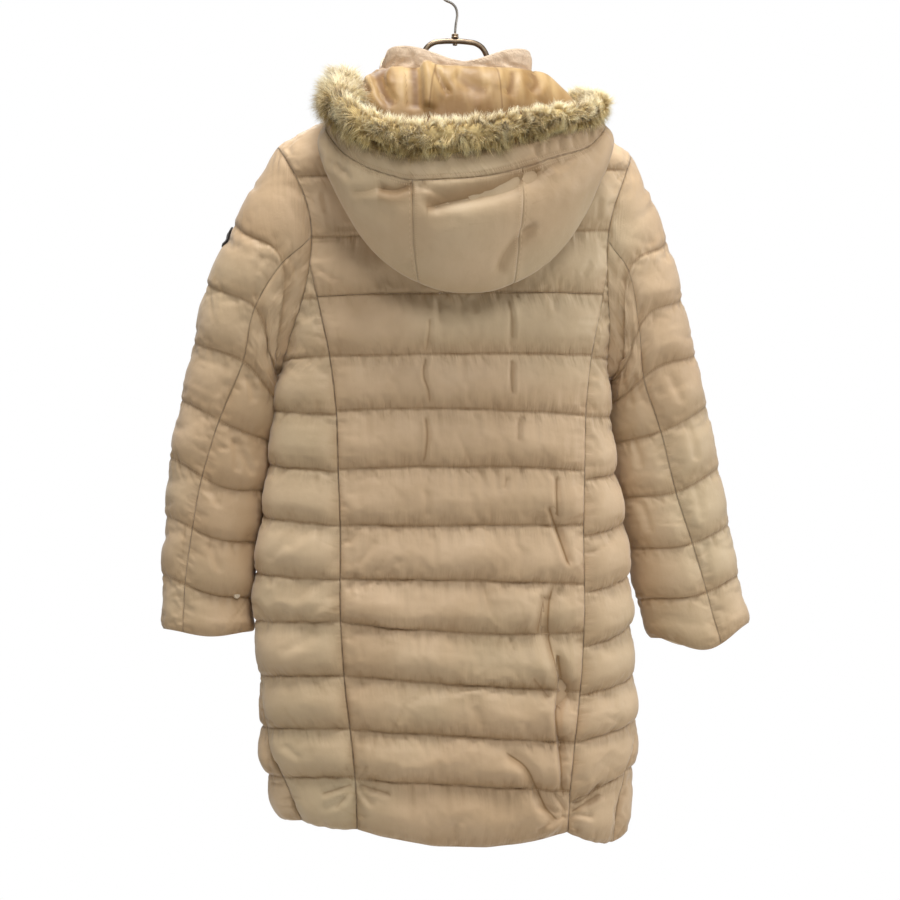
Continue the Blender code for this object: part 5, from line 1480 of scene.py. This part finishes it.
def makeHanger():
    # a bent bar under the shoulder line, and over it the nut, the rivet and the hook
    outs, drops = np.array(hangerShape["rows"], float).T
    arms = np.array(hangerShape["arms"] + [hangerShape["reach"]])
    drop = shoulderLine(arms) + hangerShape["bar"] + hangerShape["gap"]
    half = np.concatenate([np.stack([outs, 0 * outs, -drops], -1), np.stack([arms, 0 * arms, -drop], -1)])
    path = np.concatenate([half[:0:-1] * (-1, 1, 1), half])
    bar = rodMesh("hangerBar", tubeRings(path, hangerShape["bar"], 28, hangerShape["groove"]))
    r, top = hangerShape["nutRadius"], hangerShape["nutTop"]
    steps = [(r + out, top + drop) for out, drop in hangerShape["nut"]]
    bore = hangerShape["nutBore"]
    nut = turned("hangerNut", [(bore, top)] + steps + [(bore, steps[-1][1])])
    rivet = turned("hangerRivet", hangerShape["rivet"], 20)
    radius = hangerShape["hookRadius"]
    turns = np.radians(np.linspace(-58, 215, 40))
    eyeMiddle = radius - hangerShape["wire"]
    circle = np.stack([radius * np.cos(turns), 0 * turns, -(eyeMiddle - radius * np.sin(turns))], -1)
    stem = [(0, 0, -(top - 0.3))] + hangerShape["stem"]
    hook = rodMesh("hangerHook", tubeRings(np.concatenate([stem, circle]), hangerShape["wire"], 16))
    for piece, node in ((bar, "hanger_bar"), (nut, "hanger_nut"), (rivet, "hanger_nut"), (hook, "hanger_hook")):
        seat(piece, node)
    return bar, nut, rivet, hook


# ---- front zip ----

zipShape = {
    "tape": 8.4, "wall": 1.4, "first": 158.0, "last": 1018.0, "slider": 268.0,
    "pitch": 3.4, "tooth": (3.6, 1.5, 2.3), "gap": 0.25,
    "columns": 9, "rowStep": 2.0, "cord": 0.35,     # the cord is the raised edge that carries the teeth
    "closedReach": 0.55, "openReach": 1.9, "toothCorner": 0.45,
}


def frontDepth(drop):
    return bodySize(4, np.asarray(drop, float))


def roundedBlock(size, corner):
    # an eight-sided block with cut edges: two nested outlines joined; returns points and faces
    (x, y, z), c = np.array(size) / 2, corner
    quarter = np.array([(x, z - c), (x - c, z)])
    half = np.concatenate([quarter, quarter[::-1] * (-1, 1)])
    outline = np.concatenate([half, -half])
    inner = outline * np.array([(x - c) / x, (z - c) / z])
    rings = [(inner, -y), (outline, -y + c), (outline, y - c), (inner, y)]
    points = np.concatenate([np.stack([o[:, 0], np.full(8, depth), o[:, 1]], -1) for o, depth in rings])
    faces = [list(range(8))[::-1], list(range(24, 32))]
    for k in range(3):
        for j in range(8):
            m = (j + 1) % 8
            faces.append([8 * k + j, 8 * k + m, 8 * k + 8 + m, 8 * k + 8 + j])
    return points, faces


def makeZip():
    # a tape and a row of teeth on each side; the teeth mesh below the slider
    step, columns, pitch = zipShape["rowStep"], zipShape["columns"], zipShape["pitch"]
    drops = np.arange(zipShape["first"] + step, zipShape["last"], step)
    made = []
    for side, word in sideWord.items():
        out = np.linspace(zipShape["gap"], zipShape["tape"], columns)
        x = side * np.repeat(out[None], len(drops), axis=0)
        y = -frontDepth(drops)[:, None] * np.ones((1, columns))
        base = np.stack([x, y, -np.repeat(drops[:, None], columns, axis=1)], -1)
        way = np.zeros_like(base)
        way[..., 1] = -1
        cord = zipShape["cord"] * np.exp(-((out - 0.9) / 0.7) ** 2)[None] * np.ones((len(drops), 1))
        outer = base + way * (0.8 + cord)[..., None]
        along, down = clothLengths(base)
        floats = {"lineGap": np.abs(x), "edgeGap": np.minimum(np.abs(x), zipShape["tape"] - np.abs(x))}
        tape = wallMesh(f"zipTape{word}", outer, base, everyFew(len(drops), 6), way, (along, down), floats)
        spots = np.arange(zipShape["first"] + 6, zipShape["last"] - 4, pitch) + (pitch / 2 if side < 0 else 0)
        points, faces = roundedBlock(zipShape["tooth"], zipShape["toothCorner"])
        reach = np.where(spots > zipShape["slider"], zipShape["closedReach"], zipShape["openReach"])
        places = np.stack([side * reach, -(frontDepth(spots) + 1.25), -spots], -1)
        allPoints = (places[:, None] + points[None]).reshape(-1, 3)
        allFaces = []
        for number in range(len(spots)):
            allFaces += [[v + number * len(points) for v in face] for face in faces]
        teeth = placed(f"zipTeeth{word}", newMesh(f"zipTeeth{word}", allPoints, allFaces))
        for piece in (tape, teeth):
            seat(piece, f"zip_tape_{word.lower()}")
            made.append(piece)
    return made


def onCloth(grid, way, spot):
    # the point of a grid that lies nearest a seen spot, and its way out
    across, down = fromBehind(grid)
    far = np.hypot(across - spot[0], down - spot[1]) + 1e3 * (way @ toEye < 0.1)
    row, column = np.unravel_index(far.argmin(), far.shape)
    return grid[row, column], unit(way[row, column])


def lay(piece, point, out):
    # turns a piece made about the upright line so that its top faces out from the cloth
    side = unit(np.cross(np.array([0, 0, 1.0]), out))
    turn = np.stack([side, np.cross(out, side), out], axis=1)
    spots = np.empty(3 * len(piece.data.vertices))
    piece.data.vertices.foreach_get("co", spots)
    piece.data.vertices.foreach_set("co", (spots.reshape(-1, 3) @ turn.T + point / 1000).ravel())
    piece.data.update()


trimShape = {
    "snapSpot": (-257.2, 749.1), "snapRadius": 4.2,
    # share of the radius, height above the cloth turned upside down
    "snap": [(0.8, 1.2), (1.0, 0.6), (1.0, -0.3), (0.93, -1.0), (0.8, -1.3), (0.66, -1.0), (0.5, -0.85), (0.3, -1.0)],
    "ringSpot": (175.8, 184.0), "ringRadius": 3.4, "ringWire": 0.75, "ringLong": 1.35, "ringRise": 1.6,
}


def makeTrims():
    # a snap on the cuff, and a small metal ring on the hood's band
    panel = next(p for p in panels if p["name"] == "sleeveLeftUnder")
    point, out = onCloth(panel["shown"], panel["shownWay"], trimShape["snapSpot"])
    profile = [(share * trimShape["snapRadius"], drop) for share, drop in trimShape["snap"]]
    snap = turned("cuffSnap", [(0.4, 1.2)] + profile + [(0.4, -1.1)], 28)
    lay(snap, point, out)
    places, spots = np.linspace(-0.75, -0.35, 60), np.linspace(4.6, 4.98, 12)
    grid, way = hoodPoint(places, spots), hoodOutward(places, spots)
    point, out = onCloth(grid + way * hoodShape["cloth"], way, trimShape["ringSpot"])
    turns, small = fullTurn(32), fullTurn(12)
    wide = trimShape["ringRadius"] + trimShape["ringWire"] * np.cos(small)[None]
    high = trimShape["ringWire"] * np.sin(small)[None] + 0 * turns[:, None] + trimShape["ringRise"]
    c, s = np.cos(turns)[:, None], np.sin(turns)[:, None]
    rings = np.stack([wide * c, wide * trimShape["ringLong"] * s, high], axis=-1)
    index = np.arange(rings.shape[0] * rings.shape[1]).reshape(rings.shape[:2])
    after, beside = np.roll(index, -1, axis=0), np.roll(index, -1, axis=1)
    both = np.roll(after, -1, axis=1)
    faces = np.stack([index, after, both, beside], -1).reshape(-1, 4).tolist()
    ring = placed("bandRing", newMesh("bandRing", rings.reshape(-1, 3), faces, True))
    lay(ring, point, out)
    for piece, node in ((snap, "sleeve_left_under"), (ring, "hood_band")):
        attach(piece, "coat")
    return snap, ring


furPieces = makeFur()
hanger = makeHanger()
zipPieces = makeZip()
snap, ring = makeTrims()
print("fur, hanger and zip done:", sum(len(p.data.polygons) for p in furPieces), "fur faces")


# ---- materials ----

class Wire:
    # a node's output that can stand in sums
    def __init__(self, look, socket):
        self.look, self.socket = look, socket

    def sum(self, operation, *parts):
        return self.look.node("ShaderNodeMath", {"operation": operation}, dict(enumerate(parts)))

    def __add__(self, other): return self.sum("ADD", self, other)
    def __radd__(self, other): return self.sum("ADD", other, self)
    def __sub__(self, other): return self.sum("SUBTRACT", self, other)
    def __rsub__(self, other): return self.sum("SUBTRACT", other, self)
    def __mul__(self, other): return self.sum("MULTIPLY", self, other)
    def __rmul__(self, other): return self.sum("MULTIPLY", other, self)
    def size(self): return self.sum("ABSOLUTE", self)


class Look:
    # a material with one Principled shader
    def __init__(self, name, **fixed):
        self.material = bpy.data.materials.new(name)
        self.material.use_nodes = True
        self.tree = self.material.node_tree
        self.shader = self.tree.nodes["Principled BSDF"]
        for label, value in fixed.items():
            self.shader.inputs[label.replace("_", " ")].default_value = value

    def node(self, kind, settings=None, sockets=None, out=0):
        node = self.tree.nodes.new(kind)
        for label, value in (settings or {}).items():
            setattr(node, label, value)
        for label, value in (sockets or {}).items():
            if isinstance(value, Wire):
                self.tree.links.new(value.socket, node.inputs[label])
            else:
                node.inputs[label].default_value = value
        return Wire(self, node.outputs[out])

    def mix(self, share, first, second, blend="MIX"):
        wires = {0: share, 6: first, 7: second}
        wires = {k: (*v, 1) if isinstance(v, tuple) and len(v) == 3 else v for k, v in wires.items()}
        return self.node("ShaderNodeMix", {"data_type": "RGBA", "blend_type": blend}, wires, 2)

    def stretch(self, vector, by):
        return self.node("ShaderNodeVectorMath", {"operation": "MULTIPLY"}, {0: vector, 1: by})

    def smoothStep(self, value, low, high, start=0.0, end=1.0):
        settings = {"interpolation_type": "SMOOTHSTEP"}
        return self.node("ShaderNodeMapRange", settings, {0: value, 1: low, 2: high, 3: start, 4: end})

    def noise(self, place, scale, detail=3.0, rough=0.5, twist=0.0):
        sockets = {"Vector": place, "Scale": scale, "Detail": detail, "Roughness": rough, "Distortion": twist}
        return self.node("ShaderNodeTexNoise", {}, sockets)

    def wave(self, value):
        return self.node("ShaderNodeMath", {"operation": "SINE"}, {0: value})

    def ripple(self, length, apart):
        # a wave along a length of cloth that is given in metres, its crests "apart" millimetres from each other
        return self.wave(length * (6283.2 / apart))

    def attribute(self, label):
        return self.node("ShaderNodeAttribute", {"attribute_name": label}, {}, 2)

    def objectPlace(self):
        return self.node("ShaderNodeTexCoord", {}, {}, 3)

    def uv(self):
        return self.node("ShaderNodeUVMap", {"uv_map": "cloth"})

    def parts(self, vector):
        split = self.tree.nodes.new("ShaderNodeSeparateXYZ")
        self.tree.links.new(vector.socket, split.inputs[0])
        return [Wire(self, split.outputs[k]) for k in range(3)]

    def join(self, x, y, z=0.0):
        return self.node("ShaderNodeCombineXYZ", {}, {0: x, 1: y, 2: z})

    def bump(self, height, distance, strength=1.0):
        sockets = {"Height": height, "Distance": distance, "Strength": strength}
        return self.node("ShaderNodeBump", {}, sockets)

    def shade(self, **wires):
        for label, wire in wires.items():
            self.tree.links.new(wire.socket, self.shader.inputs[label.replace("_", " ")])
        return self.material


def put(piece, look):
    piece.data.materials.clear()
    piece.data.materials.append(look)


shellFinish = {
    "light": (0.665, 0.48, 0.30), "dark": (0.565, 0.395, 0.235), "cool": (0.565, 0.455, 0.285),
    # painted shade: "shadow" is the colour that all painted shade mixes towards, and also the dark end of the random
    # patches; "seam" is the darker colour painted into seams
    "shadow": (0.31, 0.18, 0.075), "seam": (0.15, 0.085, 0.04),
    # how dark the painted shade is: over the whole piece, low down, in seams, along stitched lines, on each channel's
    # lower part and in folds
    "coolShare": 0.0, "shade": 0.0, "lowShade": 0.04,       # added to the whole piece, or only low down
    "seamShade": 0.32, "lineShade": 0.46, "underShade": 0.42, "foldShade": 0.85,
    "beside": (-4.0, 11.5, 0.5),        # the shade beside a fold: from, to, how dark
    "crinkle": 0.5, "streak": 1.0, "roughness": 0.5, "sheen": 0.25,
    "stitch": 2.8, "weave": 0.42,
    "cloudScale": 9.0, "patchScale": 38.0, "coolScale": 5.0, "crinkleScale": 120.0,
    "pull": 2.6, "gather": 4.2, "sidePull": 1.2,        # heights of the small wrinkles beside lines and seams
    "stitchRow": 2.6,                   # how far the stitches lie from a seam of the hood or the collar
    "bump": 0.0011,
}
plainFinish = {"lowShade": 0.0, "seamShade": 0.04, "foldShade": 0.102, "beside": (-9.0, 30.0, 0.75)}
# what single pieces change; "shade", "lowShade" and "seamShade" set painted shade, and the yoke's paler tones are
# painted light
quiltedFinishes = {
    "backCentre": {"seamShade": 0.55, "lowShade": 0.14},
    # painted light: paler tones on the yoke make up for the shade that the hood casts on it
    "backYoke": {"seamShade": 0.5, "light": (0.73, 0.53, 0.335), "dark": (0.64, 0.455, 0.275)},
    "backSideLeft": {"seamShade": 0.7, "coolShare": 0.3},
    "backSideRight": {"coolShare": 0.1},
    "sleeveLeftUpper": {"streak": 0.45, "shade": 0.05}, "sleeveLeftUnder": {"streak": 0.45, "shade": 0.16},
    "sleeveRightUpper": {"streak": 0.45}, "sleeveRightUnder": {"streak": 0.45},
}
# painted shade over the whole hood
hoodFinish = {**plainFinish, "coolShare": 0.1, "shade": 0.12}
collarFinish = {
    **plainFinish, "crinkle": 1.6,
    "light": (0.78, 0.60, 0.43), "dark": (0.68, 0.50, 0.34), "cool": (0.70, 0.55, 0.40),
}


def shellLook(name, quilted, changes):
    # fine plain-woven cloth: soft colour clouds, painted shade in stitched lines, seams, creases and folds and over
    # shaded parts, small crinkles and a weave
    values = {**shellFinish, **changes}
    look = Look(name, Sheen_Weight=values["sheen"], Sheen_Roughness=0.4, Specular_IOR_Level=0.35)

    def darker(colour, share):
        return look.mix(share, colour, values["shadow"])

    place, uv = look.objectPlace(), look.uv()
    clouds = look.noise(place, values["cloudScale"], 3.0, 0.55)
    patches = look.noise(place, values["patchScale"], 4.0, 0.6)
    colour = look.mix(look.smoothStep(clouds, 0.3, 0.7), values["dark"], values["light"])
    cool = look.noise(place, values["coolScale"], 1.0)
    cool = look.smoothStep(cool, 0.45, 0.75) * 0.6 + values["coolShare"]
    colour = look.mix(cool, colour, values["cool"])
    # darker random patches, plus painted shade low down and over pieces that lie in shade
    low = look.smoothStep(look.parts(place)[2], -0.92, -0.62, values["lowShade"], 0.0)
    colour = darker(colour, look.smoothStep(patches, 0.35, 0.8) * 0.10 + low + values["shade"])
    u, v, _ = look.parts(uv)
    edgeGap = look.attribute("edgeGap")
    threads = look.ripple(u, values["weave"]) * look.ripple(v, values["weave"])
    crinkle = look.noise(place, values["crinkleScale"], 3.0, 0.55, 0.3)
    rough = look.smoothStep(patches, 0.2, 0.8, values["roughness"] - 0.07, values["roughness"] + 0.08)
    # folds: painted shade, a thin dark line in each trough
    foldSide, foldDeep = look.attribute("foldSide"), look.attribute("foldDeep")
    fold = look.smoothStep(foldSide.size(), 0.1, 2.0, 1.0, 0.0) * foldDeep
    colour = darker(colour, fold * values["foldShade"])
    # the soft shade beside a fold lies on its raised side
    near, far, deep = values["beside"]
    wide = look.smoothStep(foldSide, 0.5, far, deep, 0.0) * look.smoothStep(foldSide, near, 1.5)
    colour = darker(colour, wide * foldDeep)
    height = crinkle * values["crinkle"] + threads * 0.02 - fold * 0.7
    side = look.noise(look.join(u * 30.0, v * 260.0), 1.0, 3.0, 0.6)
    streak = look.noise(look.join(u * 260.0, v * 30.0), 1.0, 3.0, 0.6)
    if quilted:
        lineGap, hang = look.attribute("lineGap"), look.attribute("hang")
        height = height + streak * look.smoothStep(lineGap, 1.0, 15.0, values["pull"] * values["streak"], 0.1)
        gather = look.noise(look.join(u * 85.0, v * 13.0), 1.0, 2.0, 0.5)
        height = height + gather * look.smoothStep(lineGap, 2.0, 26.0, values["gather"] * values["streak"], 0.4)
        height = height + side * look.smoothStep(edgeGap, 1.0, 10.0, values["sidePull"], 0.0)
        # painted shade on the lower part of each channel, which turns under
        colour = darker(colour, look.smoothStep(hang, 0.5, 1.0, 0.0, values["underShade"]))
        # painted shade in the small creases beside lines and seams
        colour = darker(colour, look.attribute("crease") * 0.35)
        dash = look.smoothStep(look.ripple(u, values["stitch"]), -0.4, 0.1)
        thread = look.smoothStep(lineGap, 0.35, 0.75, 1.0, 0.0)
        # painted shade in the groove along each stitched line, stronger in places
        uneven = look.smoothStep(look.noise(look.join(u * 22.0, v * 9.0), 1.0, 2.0), 0.3, 0.7, 0.35, 1.3)
        colour = darker(colour, look.smoothStep(lineGap, 0.3, 3.2, values["lineShade"], 0.0) * uneven)
        # painted shade in small spots where the stitches pull the cloth into puckers
        pinchShade = look.smoothStep(look.noise(look.join(u * 190.0, v * 40.0), 1.0, 2.0), 0.5, 0.68)
        colour = darker(colour, look.smoothStep(lineGap, 0.4, 3.6, 0.45, 0.0) * pinchShade * uneven)
        colour = look.mix(thread * dash * 0.35, colour, values["light"])
        height = height + thread * dash * 0.5
    else:
        # rows of stitches beside the seams, with painted shade along each row's groove
        hemGap = look.attribute("hemGap")
        height = height + streak * look.smoothStep(hemGap, 1.0, 12.0, 2.2, 0.0)
        height = height + side * look.smoothStep(edgeGap, 1.0, 8.0, 1.0, 0.0)
        for gap, length, deep in ((hemGap, u, 0.16), (edgeGap, v, 0.08)):
            fromRow = (gap - values["stitchRow"]).size()
            dash = look.smoothStep(look.ripple(length, values["stitch"]), -0.3, 0.2)
            thread = look.smoothStep(fromRow, 0.3, 0.7, 1.0, 0.0)
            colour = darker(colour, look.smoothStep(fromRow, 0.4, 1.8, deep, 0.0))
            colour = look.mix(thread * dash * 0.4, colour, values["light"])
            height = height + thread * (dash * 0.6 - 0.8) * (deep * 3.0)
        # painted shade, broken in places, in the seams that hemGap is measured from
        broken = look.smoothStep(look.noise(look.join(u * 120.0, v * 120.0), 1.0, 2.0), 0.4, 0.6, 0.15, 0.8)
        colour = look.mix(look.smoothStep(hemGap, 0.2, 1.4, 0.5, 0.0) * broken, colour, values["seam"])
    # painted shade in the seams' grooves, stronger in places
    uneven = look.smoothStep(look.noise(look.join(u * 60.0, v * 90.0), 1.0, 2.0), 0.3, 0.7, 0.5, 1.25)
    colour = look.mix(look.smoothStep(edgeGap, 0.2, 1.4, values["seamShade"], 0.0) * uneven, colour, values["seam"])
    return look.shade(Base_Color=colour, Roughness=rough, Normal=look.bump(height, values["bump"], 0.8))


for piece in quilted:
    put(piece, shellLook(piece.name, True, quiltedFinishes.get(piece.name, {})))
for piece in hoodPieces:
    put(piece, shellLook(piece.name, False, hoodFinish))
put(collar, shellLook("collar", False, collarFinish))
print("shell cloth done")


liningFinish = {
    # lit and shaded tones of the painted falls, and the colour of the painted shade
    "light": (0.62, 0.42, 0.19), "dark": (0.35, 0.20, 0.065), "shadow": (0.17, 0.075, 0.018), "roughness": 0.5,
    "rollDrop": 0.128, "insideDrop": 0.200,
}


def liningLook(name):
    # thin shiny lining cloth, with painted light and shade on its falls, and painted shade at its seams, in its folds
    # and deep inside the hood
    values = liningFinish
    look = Look(name, Sheen_Weight=0.15, Specular_IOR_Level=0.4)
    place, uv = look.objectPlace(), look.uv()
    x, _, z = look.parts(place)
    # painted light and shade: downward streaks stand for the lit and shaded sides of the drape, and also raise its
    # bump
    falls = look.noise(look.join(x * 34.0, z * 9.0), 1.0, 3.0, 0.5)
    colour = look.mix(look.smoothStep(falls, 0.36, 0.66), values["dark"], values["light"])
    # painted shade at the hood's seams
    seam = look.smoothStep(look.attribute("lineGap"), 0.3, 1.6, 0.5, 0.0)
    colour = look.mix(seam, colour, values["shadow"])
    # painted shade, darker deeper inside the hood
    inside = look.smoothStep(z, -values["insideDrop"], -values["rollDrop"], 0.6, 0.0)
    colour = look.mix(inside, colour, values["shadow"])
    # painted shade in the folds' troughs
    fold = look.smoothStep(look.attribute("foldSide").size(), 0.5, 7.0, 1.0, 0.0) * look.attribute("foldDeep")
    colour = look.mix(fold * 0.75, colour, values["shadow"])
    u, v, _ = look.parts(uv)
    streak = look.noise(look.join(u * 60.0, v * 190.0), 1.0, 2.0, 0.5)
    crinkle = look.noise(place, 90.0, 3.0, 0.55)
    height = crinkle * 0.5 + streak * 0.3 + falls * 2.0
    rough = look.smoothStep(crinkle, 0.3, 0.7, values["roughness"] - 0.05, values["roughness"] + 0.08)
    return look.shade(Base_Color=colour, Roughness=rough, Normal=look.bump(height, 0.0009, 0.7))


put(hoodLining, liningLook("hoodLining"))


furFinish = {
    "root": (0.70, 0.53, 0.25), "under": (1.0, 0.82, 0.44), "tip": (1.0, 0.95, 0.72),
    "darkRoot": (0.27, 0.18, 0.075), "darkTip": (0.76, 0.57, 0.30), "low": (0.86, 0.78, 0.46), "roughness": 0.6,
}


def furLook(name):
    # each strand runs from a dark root to a pale tip, in patches of light and dark
    values = furFinish
    look = Look(name, Roughness=values["roughness"], Specular_IOR_Level=0.3, Sheen_Weight=0.2)
    tip, tone = look.attribute("tip"), look.attribute("tone")
    pale = look.mix(look.smoothStep(tip, 0.0, 0.55), values["root"], values["under"])
    pale = look.mix(look.smoothStep(tip, 0.35, 1.0), pale, values["tip"])
    dim = look.mix(look.smoothStep(tip, 0.1, 1.0), values["darkRoot"], values["darkTip"])
    colour = look.mix(look.smoothStep(tone, 0.15, 0.6), dim, pale)
    # the lower side is greener and darker than the top
    under = look.attribute("under")
    colour = look.mix(look.smoothStep(under, 0.35, 1.0, 0.0, 0.75), colour, values["low"], "MULTIPLY")
    return look.shade(Base_Color=colour)


cloudyFinish = {
    # two tones, scale and detail of the tones, the wear and the bumps, shine, roughness from and to, height of a bump
    "underfur": ((0.44, 0.32, 0.14), (0.62, 0.48, 0.23), (60, 4), (200, 2), (300, 3), 0.2, 0.8, 0.95, 0.002),
    "cream": ((0.66, 0.54, 0.39), (0.76, 0.65, 0.49), (200, 4), (500, 3), (200, 4), 0.5, 0.28, 0.45, 0.0001),
    "teeth": ((0.30, 0.22, 0.14), (0.38, 0.29, 0.19), (90, 3), (90, 3), (90, 3), 0.5, 0.3, 0.42, 0.0002),
}


def cloudyLook(name, finish):
    # clouded tone, worn shine and small bumps, each from noise of its own scale
    first, second, tones, wear, bumps, shine, low, high, height = cloudyFinish[finish]
    look = Look(name, Specular_IOR_Level=shine)
    place = look.objectPlace()
    colour = look.mix(look.noise(place, *tones), first, second)
    rough = look.smoothStep(look.noise(place, *wear), 0.3, 0.7, low, high)
    return look.shade(Base_Color=colour, Roughness=rough, Normal=look.bump(look.noise(place, *bumps), height))


*furStrands, furCore = furPieces
for piece in furStrands:
    put(piece, furLook(piece.name))
put(furCore, cloudyLook("furCore", "underfur"))


metalFinish = {
    "bronze": ((0.20, 0.15, 0.11), (0.36, 0.27, 0.18), 0.26),
    "steel": ((0.28, 0.25, 0.22), (0.42, 0.39, 0.35), 0.30),
    "brass": ((0.46, 0.38, 0.26), (0.62, 0.53, 0.38), 0.30),
}


def metalLook(name, finish, brushed=900.0):
    # plated metal: cloudy tone, fine brushing, small dents and rubbed spots
    dark, light, roughness = metalFinish[finish]
    look = Look(name, Metallic=1.0)
    place = look.objectPlace()
    clouds = look.noise(place, 70.0, 4.0, 0.6)
    colour = look.mix(look.smoothStep(clouds, 0.3, 0.7), dark, light)
    fine = look.noise(look.stretch(place, (brushed, brushed, brushed * 0.08)), 1.0, 2.0)
    rough = look.smoothStep(clouds, 0.3, 0.75, roughness, roughness + 0.14) + fine * 0.06
    return look.shade(Base_Color=colour, Roughness=rough, Normal=look.bump(fine + clouds * 0.6, 0.0001, 0.6))


for piece, finish in zip(hanger, ("bronze", "bronze", "bronze", "steel")):
    put(piece, metalLook(piece.name, finish))
for node in ("zip_slider", "zip_bridge", "zip_pull"):
    put(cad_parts[node], metalLook(node, "brass"))


def tapeLook(name):
    # woven tape: fine ribs across, a darker edge
    look = Look(name, Specular_IOR_Level=0.3)
    u, v, _ = look.parts(look.uv())
    ribs, cross = look.ripple(v, 0.9), look.ripple(u, 0.6)
    clouds = look.noise(look.objectPlace(), 40.0, 3.0)
    colour = look.mix(clouds, (0.40, 0.31, 0.21), (0.50, 0.40, 0.28))
    colour = look.mix(look.smoothStep(look.attribute("edgeGap"), 0.0, 1.2, 0.4, 0.0), colour, (0.22, 0.16, 0.10))
    rough = look.smoothStep(clouds, 0.3, 0.7, 0.68, 0.8)
    return look.shade(Base_Color=colour, Roughness=rough, Normal=look.bump(ribs * cross, 0.00012))


def badgeLook(name):
    # dark woven patch with a raised border and fine ribs
    look = Look(name, Specular_IOR_Level=0.3, Sheen_Weight=0.2)
    u, v, _ = look.parts(look.uv())
    ribs = look.ripple(u, 0.7) * look.ripple(v, 0.7)
    clouds = look.noise(look.objectPlace(), 120.0, 3.0)
    border = look.smoothStep((look.attribute("edgeGap") - 1.3).size(), 0.6, 1.1, 1.0, 0.0)
    colour = look.mix(clouds, (0.018, 0.014, 0.013), (0.036, 0.028, 0.024))
    colour = look.mix(border * 0.6, colour, (0.075, 0.055, 0.042))
    rough = look.smoothStep(clouds, 0.3, 0.7, 0.6, 0.75)
    return look.shade(Base_Color=colour, Roughness=rough, Normal=look.bump(ribs * 0.3 + border, 0.0003))


put(badge, badgeLook("sleeveBadge"))


put(snap, cloudyLook("cuffSnap", "cream"))
put(ring, metalLook("bandRing", "brass"))
for piece in zipPieces:
    put(piece, tapeLook(piece.name) if "Tape" in piece.name else cloudyLook(piece.name, "teeth"))


# ---- camera, light, floor ----

stageLook = {
    "floorDrop": 1750.0, "floorSize": 3000.0, "sky": 0.17,
    "aim": (0, 0, -0.55),
    # name: place, size, power; all of them aim at the coat's middle
    "lamps": {
        "overhead": ((0.1, 0.7, 2.4), 1.6, 101.0),
        "behind": ((-0.3, 2.6, 1.4), 1.2, 31.0),
        "before": ((0.3, -2.6, 1.6), 1.6, 24.0),
        "rightSide": ((-2.4, 0.5, 0.1), 1.6, 26.0),
        "leftSide": ((2.4, 0.2, 0.3), 1.6, 9.0),
    },
}


def makeCamera():
    camera = placed("camera", bpy.data.cameras.new("camera"))
    camera.location = (toEye * eye["far"] - (0, 0, eye["drop"])) / 1000
    camera.rotation_euler = (math.pi / 2, 0, math.pi - eyeTurn)
    camera.data.sensor_width = eye["film"]
    camera.data.lens = eye["film"] * (eye["far"] - eye["sheet"]) / eye["view"]
    camera.data.shift_x = eye["aside"]
    scene.camera = camera


def makeLight(name, place, size, power):
    lamp = bpy.data.lights.new(name, "AREA")
    lamp.shape, lamp.size, lamp.energy = "DISK", size, power
    thing = placed(name, lamp)
    thing.location = place
    away = unit(np.array(place, float) - stageLook["aim"])
    thing.rotation_euler = (math.acos(away[2]), 0, math.atan2(away[1], away[0]) + math.pi / 2)


def makeSky():
    world = bpy.data.worlds.new("sky")
    scene.world = world
    world.use_nodes = True
    tree = world.node_tree
    back = tree.nodes["Background"]
    back.inputs["Color"].default_value = (1, 1, 1, 1)
    path = tree.nodes.new("ShaderNodeLightPath")
    strength = tree.nodes.new("ShaderNodeMapRange")
    strength.inputs["To Min"].default_value = stageLook["sky"]
    strength.inputs["To Max"].default_value = 1.0
    tree.links.new(path.outputs["Is Camera Ray"], strength.inputs["Value"])
    tree.links.new(strength.outputs["Result"], back.inputs["Strength"])


def makeFloor():
    turns = fullTurn(64)
    ring = np.stack([np.cos(turns), np.sin(turns), 0 * turns], axis=-1) * stageLook["floorSize"]
    floor = placed("floor", newMesh("floor", ring - (0, 0, stageLook["floorDrop"]), [list(range(64))]))
    look = Look("floor", Roughness=0.8)
    speck = look.noise(look.objectPlace(), 3.0, 3.0)
    put(floor, look.shade(Base_Color=look.mix(speck, (0.80, 0.80, 0.79), (0.84, 0.84, 0.83))))


makeCamera()
makeSky()
makeFloor()
for name, (place, size, power) in stageLook["lamps"].items():
    makeLight(name, place, size, power)
scene.view_settings.view_transform = "Standard"
